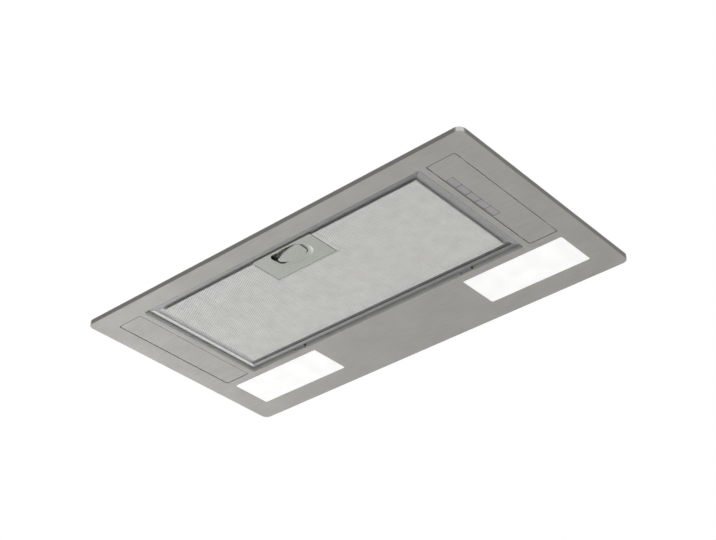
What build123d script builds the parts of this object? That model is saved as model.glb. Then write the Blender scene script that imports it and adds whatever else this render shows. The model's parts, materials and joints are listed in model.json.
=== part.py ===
from build123d import *
from math import ceil, cos, hypot, radians, sin, sqrt
import os

# Built-in range hood: a flat panel with a grease filter, two lights and a row of
# buttons, under a sheet-metal body with a blower and a round duct outlet.
#
# X runs along the panel, -Y points to the cook and +Z points up into the cabinet.
# The origin is the centre of the panel's visible underside. Sizes are millimetres.

# Panel, from its outer edges inwards
PANEL_LENGTH = 526.0
PANEL_DEPTH = 287.0
PANEL_SHEET = 0.8
PANEL_CORNER_RADIUS = 8.0
RIM_HEIGHT = 5.8
RIM_BEND_RADIUS = 1.0
EDGE_TO_COVER = 26.3
COVER_WIDTH = 34.4
COVER_TO_FILTER = 8.3
EDGE_TO_FILTER = 23.3
FILTER_TO_LIGHT = 9.7
LIGHT_DEPTH = 52.7
LIGHT_TO_BACK_EDGE = 29.8
LIGHT_TO_END_EDGE = 29.0
LIGHT_LENGTH = 127.0
COVER_SHORTER_THAN_FILTER = 2.7
OPENING_CORNER_RADIUS = 2.0
FLUSH_RECESS = 0.3

# Turned-up flange round the filter opening, with a slot for each hook
OPENING_FLANGE_HEIGHT = 8.0
HOOK_SLOT_SIDE_GAP = 1.5
HOOK_BEAD_GAP = 0.3

# Grease filter
FILTER_GAP = 3.0
FILTER_BACK_GAP = 4.0
FILTER_RECESS = 3.3
FILTER_THICKNESS = 9.0
FILTER_SHEET = 0.8
FILTER_LIP = 6.0
FILTER_GROOVE_DEPTH = 3.0
FILTER_SHELF = 6.0
FILTER_TOP_LIP = 7.0
MESH_SHEET = 0.5
MESH_FROM_LIP = 3.2
MESH_RECESS = 0.2
MESH_COLUMNS = 24
MESH_ROWS = 12
MESH_HOLE_SHARE = 0.78
MESH_MARGIN = 3.0
MEDIA_SHEET = 0.7
MEDIA_PITCH = 8.0
CLOSE_GAP = 0.1
INNER_GAP = 0.4

# Latch at the filter's front edge
LATCH_LENGTH = 82.0
LATCH_DEPTH = 41.0
LATCH_SHEET = 0.8
LATCH_FLANGE = 4.0
LATCH_TRAVEL = 6.0
POCKET_LENGTH = 40.0
POCKET_FROM_FRONT = 2.5
POCKET_DEPTH = 21.5
POCKET_RADIUS = 6.0
FINGER_SLOT = 9.5
PAD_GAP = 1.5
PAD_DISH_RADIUS = 12.0
PAD_DISH_DEPTH = 1.2
SLIDE_SHEET = 1.2
SLIDE_LENGTH = 72.0
SLIDE_SIDE_GAP = 0.2
BOLT_X = 30.0
BOLT_WIDTH = 8.0
BOLT_OVER_FLANGE = 2.5
BOLT_GAP = 0.3
SPRING_X = 27.0
SPRING_RADIUS = 1.4
SPRING_WIRE_RADIUS = 0.25
SPRING_TURNS = 4

# Hooks at the filter's back edge, which are its hinge
HOOK_FROM_FILTER_END = 71.0
HOOK_WIDTH = 14.0
HOOK_SHEET = 1.0
HOOK_BEAD_RADIUS = 1.55
HOOK_ABOVE_FILTER_UNDERSIDE = 1.3
HOOK_TAIL = 3.5
HOOK_PLATE_HEIGHT = 6.5
RIVET_RADIUS = 1.2
RIVET_HEAD_RADIUS = 1.9
RIVET_HEAD_HEIGHT = 0.8
RIVET_SPACING = 7.0

# Sheet-metal body over the panel
BODY_INSET_X = 16.0
BODY_INSET_Y = 13.5
WALL_SHEET = 0.8
FOOT_WIDTH = 7.4
FOOT_END_GAP = 2.0
CORNER_TAB = 12.0
CORNER_TAB_BASE = 10.0
TOP_FLANGE = 10.0
TOP_FLANGE_END_GAP = 15.0
PARTITION_FROM_FLANGE = 2.2
PARTITION_FOOT = 2.6
PARTITION_TAB = 12.0
PARTITION_GAP = 0.2
STUD_RADIUS = 1.5
STUD_HEIGHT = 7.0
END_STUD_X = 150.0
STUD_HOLE_GAP = 0.3
NUT_ACROSS_FLATS = 5.5
NUT_HEIGHT = 2.4
THREAD_GAP = 0.05

# Sheet-metal screws, the same size all over the body
SCREW_RADIUS = 1.45
SCREW_LENGTH = 6.0
SCREW_HEAD_RADIUS = 3.0
SCREW_HEAD_HEIGHT = 1.6
TOP_SCREW_FROM_END = 97.0
TOP_SCREW_FROM_SIDE = 40.0
LOW_SCREW_Z = 50.0
HIGH_SCREW_Z = 130.0

# Fixing to the cabinet
FIXING_HOLE_RADIUS = 2.5
FIXING_HOLE_Z = 16.0
FIXING_SPACING = 90.0
CLIP_FROM_SIDE = 35.0
CLIP_WIDTH = 14.0
CLIP_SHEET = 0.8
CLIP_CATCH_ABOVE_RIM = 16.7
CLIP_SPREAD = 9.0
CLIP_HEIGHT = 50.0
CLIP_FOOT = 20.0
CLIP_RETURN = 4.5
CLIP_SCREW_FROM_TOP = 10.0

# Lights
LENS_GAP = 0.3
LENS_THICKNESS = 2.0
LENS_LIP = 1.5
LIGHT_WALL = 1.2
LIGHT_HEIGHT = 23.2
LENS_LEDGE = 2.0
LED_BOARD_LENGTH = 112.0
LED_BOARD_DEPTH = 34.0
LED_BOARD_SHEET = 1.6
LED_COLUMNS = 6
LED_ROWS = 2
LED_SIZE = 3.5
LED_HEIGHT = 0.8

# End covers, which snap into the panel
COVER_SHEET = 0.8
COVER_GAP = 0.4
COVER_HOOK_FROM_END = 14.4
COVER_HOOK_WIDTH = 8.0
COVER_HOOK_HEIGHT = 3.0
COVER_HOOK_REACH = 0.8
COVER_HOOK_SHEET = 1.2

# Buttons in the right end cover
BUTTON_COUNT = 5
BUTTON_SLOT_FROM_EDGE = 0.8
BUTTON_WIDTH = 7.6
BUTTON_LENGTH = 14.8
BUTTON_GAP = 0.6
BUTTON_SLOT_GAP = 0.35
BUTTON_ROW_FORWARD = 17.25
BUTTON_TRAVEL = 2.5
BUTTON_CAP = 4.0
BUTTON_STEM = 10.0
BUTTON_STEM_WIDTH = 4.0
BUTTON_STEM_LENGTH = 8.0
BUTTON_STEM_GAP = 0.3
SWITCH_GAP = 0.5
SWITCH_HEIGHT = 16.7
SWITCH_WALL = 2.0

# Blower: a wheel with two rows of vanes in a scroll that opens upwards
WHEEL_RADIUS = 56.0
WHEEL_INNER_RADIUS = 47.5
WHEEL_WIDTH = 92.0
WHEEL_RING = 2.0
WHEEL_DISC = 1.6
DISC_INTO_VANES = 4.5
VANE_COUNT = 36
VANE_THICKNESS = 0.8
VANE_LEAD_ANGLE = 7.0
VANE_BOW = 1.2
HUB_RADIUS = 9.0
HUB_LEFT = 6.0
HUB_RIGHT = 12.0
CUTOFF_GAP = 6.0
VOLUTE_STEP = 8.0
TONGUE_ANGLE = 65.0
SCROLL_SIDE_GAP = 7.5
SCROLL_WALL = 1.5
SCROLL_FLANGE = 9.0
SCROLL_FLANGE_SIDE = 11.0
SCROLL_ABOVE_FILTER = 8.2
SCROLL_BELOW_TOP = 5.7
INLET_RADIUS = 46.0
INLET_RING_WALL = 1.5
INLET_RING_LENGTH = 3.5
LUG_RADIUS = 5.0
LUG_THICKNESS = 4.0
LUG_GAP = 0.4
LUG_ANGLES = (150, 215, 300, 350)
SCROLL_SCREW_RADIUS = 1.5
SCROLL_SCREW_HEAD_RADIUS = 2.8
SCROLL_SCREW_HEAD_HEIGHT = 2.0
FLANGE_SCREW_INSET = 5.5
FLANGE_SCREW_Y_INSET = 1.0

# Motor in the left inlet
MOTOR_RADIUS = 31.0
MOTOR_WALL = 1.2
MOTOR_LENGTH = 60.0
MOTOR_TO_HUB = 4.0
SHAFT_RADIUS = 3.0
SHAFT_END_LEFT = 5.0
SHAFT_END_RIGHT = 5.0
SHAFT_HOLE_GAP = 1.0
BEARING_RADIUS = 8.0
BEARING_WIDTH = 5.0
BEARING_RUNNING_GAP = 0.03
BEARING_BOSS_WALL = 3.0
STATOR_GAP = 0.1
STATOR_WALL = 9.2
STATOR_LENGTH = 24.0
WINDING_LENGTH = 6.0
WINDING_INSET = 2.0
AIR_GAP = 0.5
WHEEL_NUT_ACROSS_FLATS = 13.0
WHEEL_NUT_HEIGHT = 5.0
FIT_GAP = 0.02
BRACKET_RING_WALL = 3.0
BRACKET_RING_LENGTH = 11.0
BRACKET_SHEET = 2.0
BRACKET_ARM_WIDTH = 10.0
BRACKET_ARM_COUNT = 3
BRACKET_ARM_OVERLAP = 14.0
BRACKET_SCREW_OVERLAP = 8.0

# Duct outlet with its two non-return flaps
OUTLET_FROM_BACK_WALL = 85.0
SPIGOT_RADIUS = 74.25
SPIGOT_WALL = 1.6
SPIGOT_HEIGHT = 35.0
COLLAR_FLANGE = 9.5
COLLAR_FLANGE_SHEET = 2.0
COLLAR_SCREW_OUT = 4.75
FLAP_PIN_RADIUS = 1.5
FLAP_PIN_HEIGHT = 10.0
FLAP_PIN_GAP = 0.06
FLAP_THICKNESS = 1.2
FLAP_EDGE_GAP = 1.2
FLAP_FROM_PIN = 4.2
FLAP_LEDGE_GAP = 0.3
LEDGE_WIDTH = 3.2
LEDGE_HEIGHT = 1.5
KNUCKLE_RADIUS = 3.0
KNUCKLE_LENGTH = 18.0
KNUCKLE_PLACES = (-53.0, -17.0, 17.0, 53.0)
PIN_BOSS_RADIUS = 3.8
PIN_BOSS_LENGTH = 3.0
PIN_IN_WALL = 0.5

# Electrical parts in the right end of the body
TERMINAL_BOX_LENGTH = 42.0
TERMINAL_BOX_FROM_BACK_WALL = 5.2
TERMINAL_BOX_DEPTH = 64.0
TERMINAL_BOX_HEIGHT = 65.0
TERMINAL_BOX_WALL = 1.5
TERMINAL_BLOCK_LENGTH = 16.0
TERMINAL_BLOCK_DEPTH = 44.0
TERMINAL_BLOCK_HEIGHT = 16.0
TERMINAL_COUNT = 5
TERMINAL_HOLE_RADIUS = 2.4
FITTING_SCREW_SHARES = (0.2, 0.8)
GLAND_BORE_RADIUS = 4.5
GLAND_THREAD_RADIUS = 9.9
GLAND_ACROSS_FLATS = 24.0
GLAND_HEX_HEIGHT = 5.0
GLAND_DOME_RADIUS = 10.5
GLAND_DOME_HEIGHT = 10.0
GLAND_NUT_HEIGHT = 4.0
GLAND_HOLE_GAP = 0.1
DRIVER_LENGTH = 20.0
DRIVER_FRONT = 10.0
DRIVER_DEPTH = 86.0
DRIVER_Z = 60.0
DRIVER_HEIGHT = 25.0
DRIVER_RIB = 1.0
DRIVER_RIB_COUNT = 6
CAPACITOR_RADIUS = 14.0
CAPACITOR_LENGTH = 60.0
CAPACITOR_Y = -50.0
CAPACITOR_Z = 140.0
CAPACITOR_CLIP_SHEET = 1.2
CAPACITOR_CLIP_WIDTH = 14.0
CAPACITOR_CLIP_EAR = 9.0

# Inner cables, held all the way
MOTOR_CABLE_RADIUS = 2.5
LAMP_CABLE_RADIUS = 1.5
CABLE_FROM_BACK_WALL = 17.2
MOTOR_CABLE_Z = 160.0
MOTOR_CABLE_TURN = 50.0
LAMP_CABLE_Z = 72.0
LAMP_CABLE_DROP = 20.0
GROMMET_WALL = 1.6
GROMMET_LIP = 1.6
CABLE_GAP = 0.1

# Places worked out from the sizes above
HALF_LENGTH = PANEL_LENGTH / 2
HALF_DEPTH = PANEL_DEPTH / 2
OPENING_HALF = HALF_LENGTH - EDGE_TO_COVER - COVER_WIDTH - COVER_TO_FILTER
OPENING_FRONT = EDGE_TO_FILTER - HALF_DEPTH
LIGHT_BACK = HALF_DEPTH - LIGHT_TO_BACK_EDGE
LIGHT_FRONT = LIGHT_BACK - LIGHT_DEPTH
LIGHT_Y = (LIGHT_FRONT + LIGHT_BACK) / 2
LIGHT_X = HALF_LENGTH - LIGHT_TO_END_EDGE - LIGHT_LENGTH / 2
OPENING_BACK = LIGHT_FRONT - FILTER_TO_LIGHT
OPENING_Y = (OPENING_FRONT + OPENING_BACK) / 2
COVER_X = HALF_LENGTH - EDGE_TO_COVER - COVER_WIDTH / 2
COVER_DEPTH = OPENING_BACK - OPENING_FRONT - COVER_SHORTER_THAN_FILTER
COVER_HOOK_Y = COVER_DEPTH / 2 - COVER_HOOK_FROM_END

BUTTON_ROW_Y = OPENING_Y - BUTTON_ROW_FORWARD
BUTTON_SLOT_HALF = BUTTON_WIDTH / 2 + BUTTON_SLOT_GAP
BUTTON_ROW_HALF = (BUTTON_COUNT * (BUTTON_LENGTH + BUTTON_GAP) - BUTTON_GAP) / 2 + BUTTON_SLOT_GAP
BUTTON_X = COVER_X - COVER_WIDTH / 2 + COVER_GAP + BUTTON_SLOT_FROM_EDGE + BUTTON_SLOT_HALF
SWITCH_Z = FLUSH_RECESS + BUTTON_CAP + BUTTON_TRAVEL + SWITCH_GAP

FILTER_HALF = OPENING_HALF - FILTER_GAP
FILTER_FRONT = OPENING_FRONT + FILTER_GAP
FILTER_BACK = OPENING_BACK - FILTER_BACK_GAP
FILTER_Z = FILTER_RECESS
FILTER_TOP = FILTER_Z + FILTER_THICKNESS
MESH_INSET = FILTER_LIP + MESH_FROM_LIP
HINGE_Y = OPENING_BACK + PANEL_SHEET / 2
HINGE_Z = FILTER_Z + HOOK_ABOVE_FILTER_UNDERSIDE
HOOK_X = FILTER_HALF - HOOK_FROM_FILTER_END

LATCH_HALF = LATCH_LENGTH / 2
LATCH_FRONT = FILTER_FRONT + MESH_INSET
LATCH_BACK = LATCH_FRONT + LATCH_DEPTH
LATCH_Z = FILTER_Z + MESH_RECESS
LATCH_TOP = FILTER_TOP - FILTER_SHEET - MESH_SHEET - 3 * CLOSE_GAP
POCKET_FRONT = LATCH_FRONT + POCKET_FROM_FRONT
PAD_FRONT = POCKET_FRONT + FINGER_SLOT
SLIDE_Z = OPENING_FLANGE_HEIGHT + BOLT_GAP
SPRING_SOLID = 2 * SPRING_WIRE_RADIUS * (SPRING_TURNS + 1)
SLIDE_BACK = LATCH_BACK - LATCH_SHEET - LATCH_TRAVEL - SPRING_SOLID

BODY_HALF_LENGTH = HALF_LENGTH - BODY_INSET_X
BODY_HALF_DEPTH = HALF_DEPTH - BODY_INSET_Y
INNER_HALF_LENGTH = BODY_HALF_LENGTH - WALL_SHEET
INNER_HALF_DEPTH = BODY_HALF_DEPTH - WALL_SHEET
FOOT_TOP = PANEL_SHEET + WALL_SHEET
PARTITION_X = OPENING_HALF + PANEL_SHEET + PARTITION_FROM_FLANGE
PARTITION_OUT = PARTITION_X + WALL_SHEET
TOP_SCREW_X = BODY_HALF_LENGTH - TOP_SCREW_FROM_END
TOP_SCREW_Y = BODY_HALF_DEPTH - TOP_SCREW_FROM_SIDE
CLIP_Y = BODY_HALF_DEPTH - CLIP_FROM_SIDE
CLIP_TOP = RIM_HEIGHT + CLIP_CATCH_ABOVE_RIM + CLIP_HEIGHT
CLIP_SCREW_Z = CLIP_TOP - CLIP_SCREW_FROM_TOP

OUTLET_Y = BODY_HALF_DEPTH - OUTLET_FROM_BACK_WALL
VOLUTE_RADIUS = WHEEL_RADIUS + CUTOFF_GAP
SCROLL_BOTTOM = FILTER_TOP + SCROLL_ABOVE_FILTER
FAN_Z = SCROLL_BOTTOM + SCROLL_WALL + VOLUTE_RADIUS + 3 * VOLUTE_STEP
WALL_TOP = FAN_Z + VOLUTE_RADIUS + SCROLL_WALL + SCROLL_BELOW_TOP
BODY_TOP = WALL_TOP + WALL_SHEET
TONGUE_FROM_FAN = VOLUTE_RADIUS * cos(radians(TONGUE_ANGLE))
THROAT_BACK_FROM_FAN = VOLUTE_RADIUS + 4 * VOLUTE_STEP
FAN_Y = OUTLET_Y - (TONGUE_FROM_FAN + THROAT_BACK_FROM_FAN) / 2
TONGUE_Y = FAN_Y + TONGUE_FROM_FAN
THROAT_BACK = FAN_Y + THROAT_BACK_FROM_FAN
SCROLL_HALF = WHEEL_WIDTH / 2 + SCROLL_SIDE_GAP + SCROLL_WALL
SCROLL_INNER_HALF = SCROLL_HALF - SCROLL_WALL

MOTOR_RIGHT = -HUB_LEFT - MOTOR_TO_HUB
MOTOR_LEFT = MOTOR_RIGHT - MOTOR_LENGTH
STATOR_X = (MOTOR_LEFT + MOTOR_RIGHT) / 2

SPIGOT_INNER = SPIGOT_RADIUS - SPIGOT_WALL
FLAP_Z = BODY_TOP + FLAP_PIN_HEIGHT
COLLAR_RADIUS = SPIGOT_RADIUS + COLLAR_FLANGE
COLLAR_SCREW_RADIUS = SPIGOT_RADIUS + COLLAR_SCREW_OUT

TERMINAL_BOX_FRONT = INNER_HALF_DEPTH - TERMINAL_BOX_FROM_BACK_WALL - TERMINAL_BOX_DEPTH
CAPACITOR_X = PARTITION_OUT + CAPACITOR_RADIUS + CAPACITOR_CLIP_SHEET
GLAND_X = PARTITION_OUT + TERMINAL_BOX_LENGTH / 2
GLAND_Y = TERMINAL_BOX_FRONT + TERMINAL_BOX_DEPTH / 2
CABLE_Y = INNER_HALF_DEPTH - CABLE_FROM_BACK_WALL


# Shapes that many pieces use
def block(x_a, x_b, y_a, y_b, z_a, z_b):
    """A box between two opposite corners, given in any order."""
    centre = ((x_a + x_b) / 2, (y_a + y_b) / 2, (z_a + z_b) / 2)
    return Pos(*centre) * Box(abs(x_b - x_a), abs(y_b - y_a), abs(z_b - z_a))


def rod_x(radius, x_a, x_b, y, z):
    """A cylinder along X."""
    return Pos((x_a + x_b) / 2, y, z) * Rot(0, 90, 0) * Cylinder(radius, abs(x_b - x_a))


def rod_y(radius, y_a, y_b, x, z):
    """A cylinder along Y."""
    return Pos(x, (y_a + y_b) / 2, z) * Rot(90, 0, 0) * Cylinder(radius, abs(y_b - y_a))


def rod_z(radius, z_a, z_b, x, y):
    """A cylinder along Z."""
    return Pos(x, y, (z_a + z_b) / 2) * Cylinder(radius, abs(z_b - z_a))


def rounded_block(length, depth, radius, x, y, z_a, z_b):
    """A plate with rounded corners, centred on x and y."""
    return Pos(x, y, z_a) * extrude(RectangleRounded(length, depth, radius), z_b - z_a)


def hexagon(across_flats, z_a, z_b, x, y):
    """A hexagonal prism along Z with two flats facing front and back."""
    outline = RegularPolygon(across_flats / 2, 6, major_radius=False, rotation=30)
    return Pos(x, y, z_a) * extrude(outline, z_b - z_a)


def extrude_x(face, x_a, x_b):
    """A face drawn with Y to the right and Z up, given a thickness along X."""
    low = min(x_a, x_b)
    return extrude(Plane.YZ.offset(low) * face, amount=abs(x_b - x_a), dir=(1, 0, 0))


def bent_strip(points, thickness):
    """The section of a folded sheet: a line of points with mitred corners."""
    left, right = [], []
    for i, (x, y) in enumerate(points):
        normals = []
        for a, b in ((i - 1, i), (i, i + 1)):
            if a >= 0 and b < len(points):
                dx = points[b][0] - points[a][0]
                dy = points[b][1] - points[a][1]
                normals.append((-dy / hypot(dx, dy), dx / hypot(dx, dy)))
        nx = sum(n[0] for n in normals)
        ny = sum(n[1] for n in normals)
        reach = thickness / 2 / (nx * normals[0][0] + ny * normals[0][1])
        left.append((x + nx * reach, y + ny * reach))
        right.append((x - nx * reach, y - ny * reach))
    return make_face(Polyline(*left, *reversed(right), close=True))


def save(name, *solids):
    """One STEP file for a node, with a solid for each piece in it."""
    shape = solids[0] if len(solids) == 1 else Compound(children=list(solids))
    export_step(shape, f"parts/{name}.step")


# Panel and what it carries
def stud_places():
    """Weld studs along the four feet of the body."""
    foot_y = INNER_HALF_DEPTH - FOOT_WIDTH / 2
    foot_x = INNER_HALF_LENGTH - FOOT_WIDTH / 2
    long_sides = [(x, y) for y in (-foot_y, foot_y) for x in (-END_STUD_X, 0, END_STUD_X)]
    return long_sides + [(-foot_x, 0), (foot_x, 0)]


def make_panel():
    outside = RectangleRounded(PANEL_LENGTH, PANEL_DEPTH, PANEL_CORNER_RADIUS)
    panel = extrude(outside, RIM_HEIGHT)
    panel = fillet(panel.faces().sort_by(Axis.Z)[0].edges(), RIM_BEND_RADIUS)
    panel -= rounded_block(PANEL_LENGTH - 2 * PANEL_SHEET, PANEL_DEPTH - 2 * PANEL_SHEET,
                           PANEL_CORNER_RADIUS - PANEL_SHEET, 0, 0, PANEL_SHEET, 2 * RIM_HEIGHT)
    opening_length = 2 * OPENING_HALF
    opening_depth = OPENING_BACK - OPENING_FRONT
    panel += rounded_block(opening_length + 2 * PANEL_SHEET, opening_depth + 2 * PANEL_SHEET,
                           OPENING_CORNER_RADIUS + PANEL_SHEET, 0, OPENING_Y,
                           0, OPENING_FLANGE_HEIGHT)
    panel -= rounded_block(opening_length, opening_depth, OPENING_CORNER_RADIUS, 0, OPENING_Y,
                           -PANEL_SHEET, OPENING_FLANGE_HEIGHT + PANEL_SHEET)
    for side in (-1, 1):
        panel -= rounded_block(COVER_WIDTH, COVER_DEPTH, OPENING_CORNER_RADIUS,
                               side * COVER_X, OPENING_Y, -PANEL_SHEET, 2 * PANEL_SHEET)
        panel -= rounded_block(LIGHT_LENGTH, LIGHT_DEPTH, OPENING_CORNER_RADIUS,
                               side * LIGHT_X, LIGHT_Y, -PANEL_SHEET, 2 * PANEL_SHEET)
        half_slot = HOOK_WIDTH / 2 + HOOK_SLOT_SIDE_GAP
        slot_reach = HOOK_BEAD_RADIUS + HOOK_BEAD_GAP
        panel -= block(side * HOOK_X - half_slot, side * HOOK_X + half_slot,
                       OPENING_BACK - PANEL_SHEET, OPENING_BACK + 2 * PANEL_SHEET,
                       HINGE_Z - slot_reach, HINGE_Z + slot_reach)
    for x, y in stud_places():
        panel += rod_z(STUD_RADIUS, PANEL_SHEET, PANEL_SHEET + STUD_HEIGHT, x, y)
    return panel


def make_panel_nuts():
    nuts = []
    for x, y in stud_places():
        nut = hexagon(NUT_ACROSS_FLATS, FOOT_TOP, FOOT_TOP + NUT_HEIGHT, x, y)
        nuts.append(nut - rod_z(STUD_RADIUS + THREAD_GAP, FOOT_TOP, FOOT_TOP + NUT_HEIGHT, x, y))
    return nuts


def make_end_cover(side):
    """A plate that snaps into the panel with four hooked legs."""
    half = COVER_WIDTH / 2 - COVER_GAP
    cover = rounded_block(2 * half, COVER_DEPTH - 2 * COVER_GAP, OPENING_CORNER_RADIUS - COVER_GAP,
                          side * COVER_X, OPENING_Y, FLUSH_RECESS, FLUSH_RECESS + COVER_SHEET)
    leg_top = FLUSH_RECESS + COVER_SHEET + COVER_HOOK_HEIGHT
    hook_low = PANEL_SHEET + 2 * CLOSE_GAP
    for edge in (-1, 1):
        edge_x = side * COVER_X + edge * half
        inner_x = edge_x - edge * COVER_HOOK_SHEET
        tip_x = side * COVER_X + edge * (COVER_WIDTH / 2 + COVER_HOOK_REACH)
        for y in (OPENING_Y - COVER_HOOK_Y, OPENING_Y + COVER_HOOK_Y):
            y_a = y - COVER_HOOK_WIDTH / 2
            y_b = y + COVER_HOOK_WIDTH / 2
            cover += block(inner_x, edge_x, y_a, y_b, FLUSH_RECESS, leg_top)
            cover += block(inner_x, tip_x, y_a, y_b, hook_low, hook_low + COVER_HOOK_SHEET)
    if side > 0:
        cover -= block(BUTTON_X - BUTTON_SLOT_HALF, BUTTON_X + BUTTON_SLOT_HALF,
                       BUTTON_ROW_Y - BUTTON_ROW_HALF, BUTTON_ROW_Y + BUTTON_ROW_HALF,
                       0, 2 * COVER_SHEET)
    return cover


def button_y(index):
    return BUTTON_ROW_Y + (index - (BUTTON_COUNT - 1) / 2) * (BUTTON_LENGTH + BUTTON_GAP)


def make_button(index):
    """A cap with rounded edges on a stem that goes up into the switch block."""
    y = button_y(index)
    cap_top = FLUSH_RECESS + BUTTON_CAP
    cap = rounded_block(BUTTON_WIDTH, BUTTON_LENGTH, OPENING_CORNER_RADIUS / 2,
                        BUTTON_X, y, FLUSH_RECESS, cap_top)
    cap = fillet(cap.faces().sort_by(Axis.Z)[0].edges(), FLUSH_RECESS)
    return cap + block(BUTTON_X - BUTTON_STEM_WIDTH / 2, BUTTON_X + BUTTON_STEM_WIDTH / 2,
                       y - BUTTON_STEM_LENGTH / 2, y + BUTTON_STEM_LENGTH / 2,
                       cap_top, cap_top + BUTTON_STEM)


def make_switch_block():
    """The switch block on the right partition, with a well for each button's stem."""
    x_b = BUTTON_X + BUTTON_SLOT_HALF + SWITCH_WALL
    y_half = BUTTON_ROW_HALF + SWITCH_WALL
    switch = block(PARTITION_OUT, x_b, BUTTON_ROW_Y - y_half, BUTTON_ROW_Y + y_half,
                   SWITCH_Z, SWITCH_Z + SWITCH_HEIGHT)
    well_top = FLUSH_RECESS + BUTTON_CAP + BUTTON_STEM + BUTTON_TRAVEL + BUTTON_STEM_GAP
    for index in range(BUTTON_COUNT):
        x_half = BUTTON_STEM_WIDTH / 2 + BUTTON_STEM_GAP
        y_half = BUTTON_STEM_LENGTH / 2 + BUTTON_STEM_GAP
        switch -= block(BUTTON_X - x_half, BUTTON_X + x_half,
                        button_y(index) - y_half, button_y(index) + y_half, SWITCH_Z, well_top)
    return switch - fitting_holes()


# Lights
def make_light_lens(side):
    x = side * LIGHT_X
    lens = rounded_block(LIGHT_LENGTH - 2 * LENS_GAP, LIGHT_DEPTH - 2 * LENS_GAP,
                         OPENING_CORNER_RADIUS - LENS_GAP, x, LIGHT_Y, FLUSH_RECESS, PANEL_SHEET)
    return lens + rounded_block(LIGHT_LENGTH + 2 * LENS_LIP, LIGHT_DEPTH + 2 * LENS_LIP,
                                OPENING_CORNER_RADIUS + LENS_LIP, x, LIGHT_Y,
                                PANEL_SHEET, FLUSH_RECESS + LENS_THICKNESS)


def make_light_housing(side):
    """A tray that presses the lens onto the panel with a ledge inside its wall."""
    x = side * LIGHT_X
    ledge_z = FLUSH_RECESS + LENS_THICKNESS + CLOSE_GAP
    seat_length = LIGHT_LENGTH + 2 * (LENS_LIP + LENS_GAP)
    seat_depth = LIGHT_DEPTH + 2 * (LENS_LIP + LENS_GAP)
    top = PANEL_SHEET + LIGHT_HEIGHT
    housing = rounded_block(seat_length + 2 * LIGHT_WALL, seat_depth + 2 * LIGHT_WALL,
                            OPENING_CORNER_RADIUS + LENS_LIP + LIGHT_WALL, x, LIGHT_Y,
                            PANEL_SHEET, top)
    housing -= rounded_block(seat_length, seat_depth, OPENING_CORNER_RADIUS + LENS_LIP, x,
                             LIGHT_Y, PANEL_SHEET, ledge_z)
    return housing - rounded_block(seat_length - 2 * LENS_LEDGE, seat_depth - 2 * LENS_LEDGE,
                                   OPENING_CORNER_RADIUS, x, LIGHT_Y, ledge_z, top - LIGHT_WALL)


def make_led_board(side):
    """The board against the housing's ceiling, with its rows of small light emitters."""
    x = side * LIGHT_X
    top = PANEL_SHEET + LIGHT_HEIGHT - LIGHT_WALL
    low = top - LED_BOARD_SHEET
    board = block(x - LED_BOARD_LENGTH / 2, x + LED_BOARD_LENGTH / 2,
                  LIGHT_Y - LED_BOARD_DEPTH / 2, LIGHT_Y + LED_BOARD_DEPTH / 2, low, top)
    for column in range(LED_COLUMNS):
        for row in range(LED_ROWS):
            led_x = x + (column - (LED_COLUMNS - 1) / 2) * LED_BOARD_LENGTH / LED_COLUMNS
            led_y = LIGHT_Y + (row - (LED_ROWS - 1) / 2) * LED_BOARD_DEPTH / LED_ROWS
            board += block(led_x - LED_SIZE / 2, led_x + LED_SIZE / 2, led_y - LED_SIZE / 2,
                           led_y + LED_SIZE / 2, low - LED_HEIGHT, low)
    return board


# Grease filter
def filter_block(inset, z_a, z_b):
    """A block set in from the filter's outline, at heights above its underside."""
    return block(-FILTER_HALF + inset, FILTER_HALF - inset, FILTER_FRONT + inset,
                 FILTER_BACK - inset, FILTER_Z + z_a, FILTER_Z + z_b)


def filter_ring(outer_inset, inner_inset, z_a, z_b):
    return filter_block(outer_inset, z_a, z_b) - filter_block(inner_inset, z_a, z_b)


def bolt_slots(y_a, y_b):
    """The two slots that the latch's bolts run through."""
    slots = []
    for side in (-1, 1):
        half = BOLT_WIDTH / 2 + INNER_GAP
        slots.append(block(side * BOLT_X - half, side * BOLT_X + half, y_a, y_b,
                           SLIDE_Z - SLIDE_SIDE_GAP, SLIDE_Z + SLIDE_SHEET + SLIDE_SIDE_GAP))
    return slots


def rivet_places():
    height = HINGE_Z + HOOK_SHEET / 2 + HOOK_PLATE_HEIGHT / 2
    half = RIVET_SPACING / 2
    return [(side * HOOK_X + shift, height) for side in (-1, 1) for shift in (-half, half)]


def make_filter_frame():
    """A rolled frame: bright outer lip, groove, inner shelf for the layers, top lip."""
    shelf_edge = FILTER_LIP + FILTER_SHELF
    frame = filter_ring(0, FILTER_SHEET, 0, FILTER_THICKNESS)
    frame += filter_ring(0, FILTER_LIP, 0, FILTER_SHEET)
    frame += filter_ring(FILTER_LIP - FILTER_SHEET, FILTER_LIP, 0, FILTER_GROOVE_DEPTH)
    frame += filter_ring(FILTER_LIP - FILTER_SHEET, shelf_edge,
                         FILTER_GROOVE_DEPTH - FILTER_SHEET, FILTER_GROOVE_DEPTH)
    frame += filter_ring(0, FILTER_TOP_LIP, FILTER_THICKNESS - FILTER_SHEET, FILTER_THICKNESS)
    frame -= block(-LATCH_HALF - INNER_GAP, LATCH_HALF + INNER_GAP, LATCH_FRONT - INNER_GAP,
                   FILTER_FRONT + shelf_edge + INNER_GAP, FILTER_Z,
                   FILTER_Z + FILTER_GROOVE_DEPTH)
    frame -= bolt_slots(FILTER_FRONT - INNER_GAP, FILTER_FRONT + FILTER_SHEET + INNER_GAP)
    for x, z in rivet_places():
        frame -= rod_y(RIVET_RADIUS + THREAD_GAP, FILTER_BACK - 2 * FILTER_SHEET, FILTER_BACK, x, z)
    return frame


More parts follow.
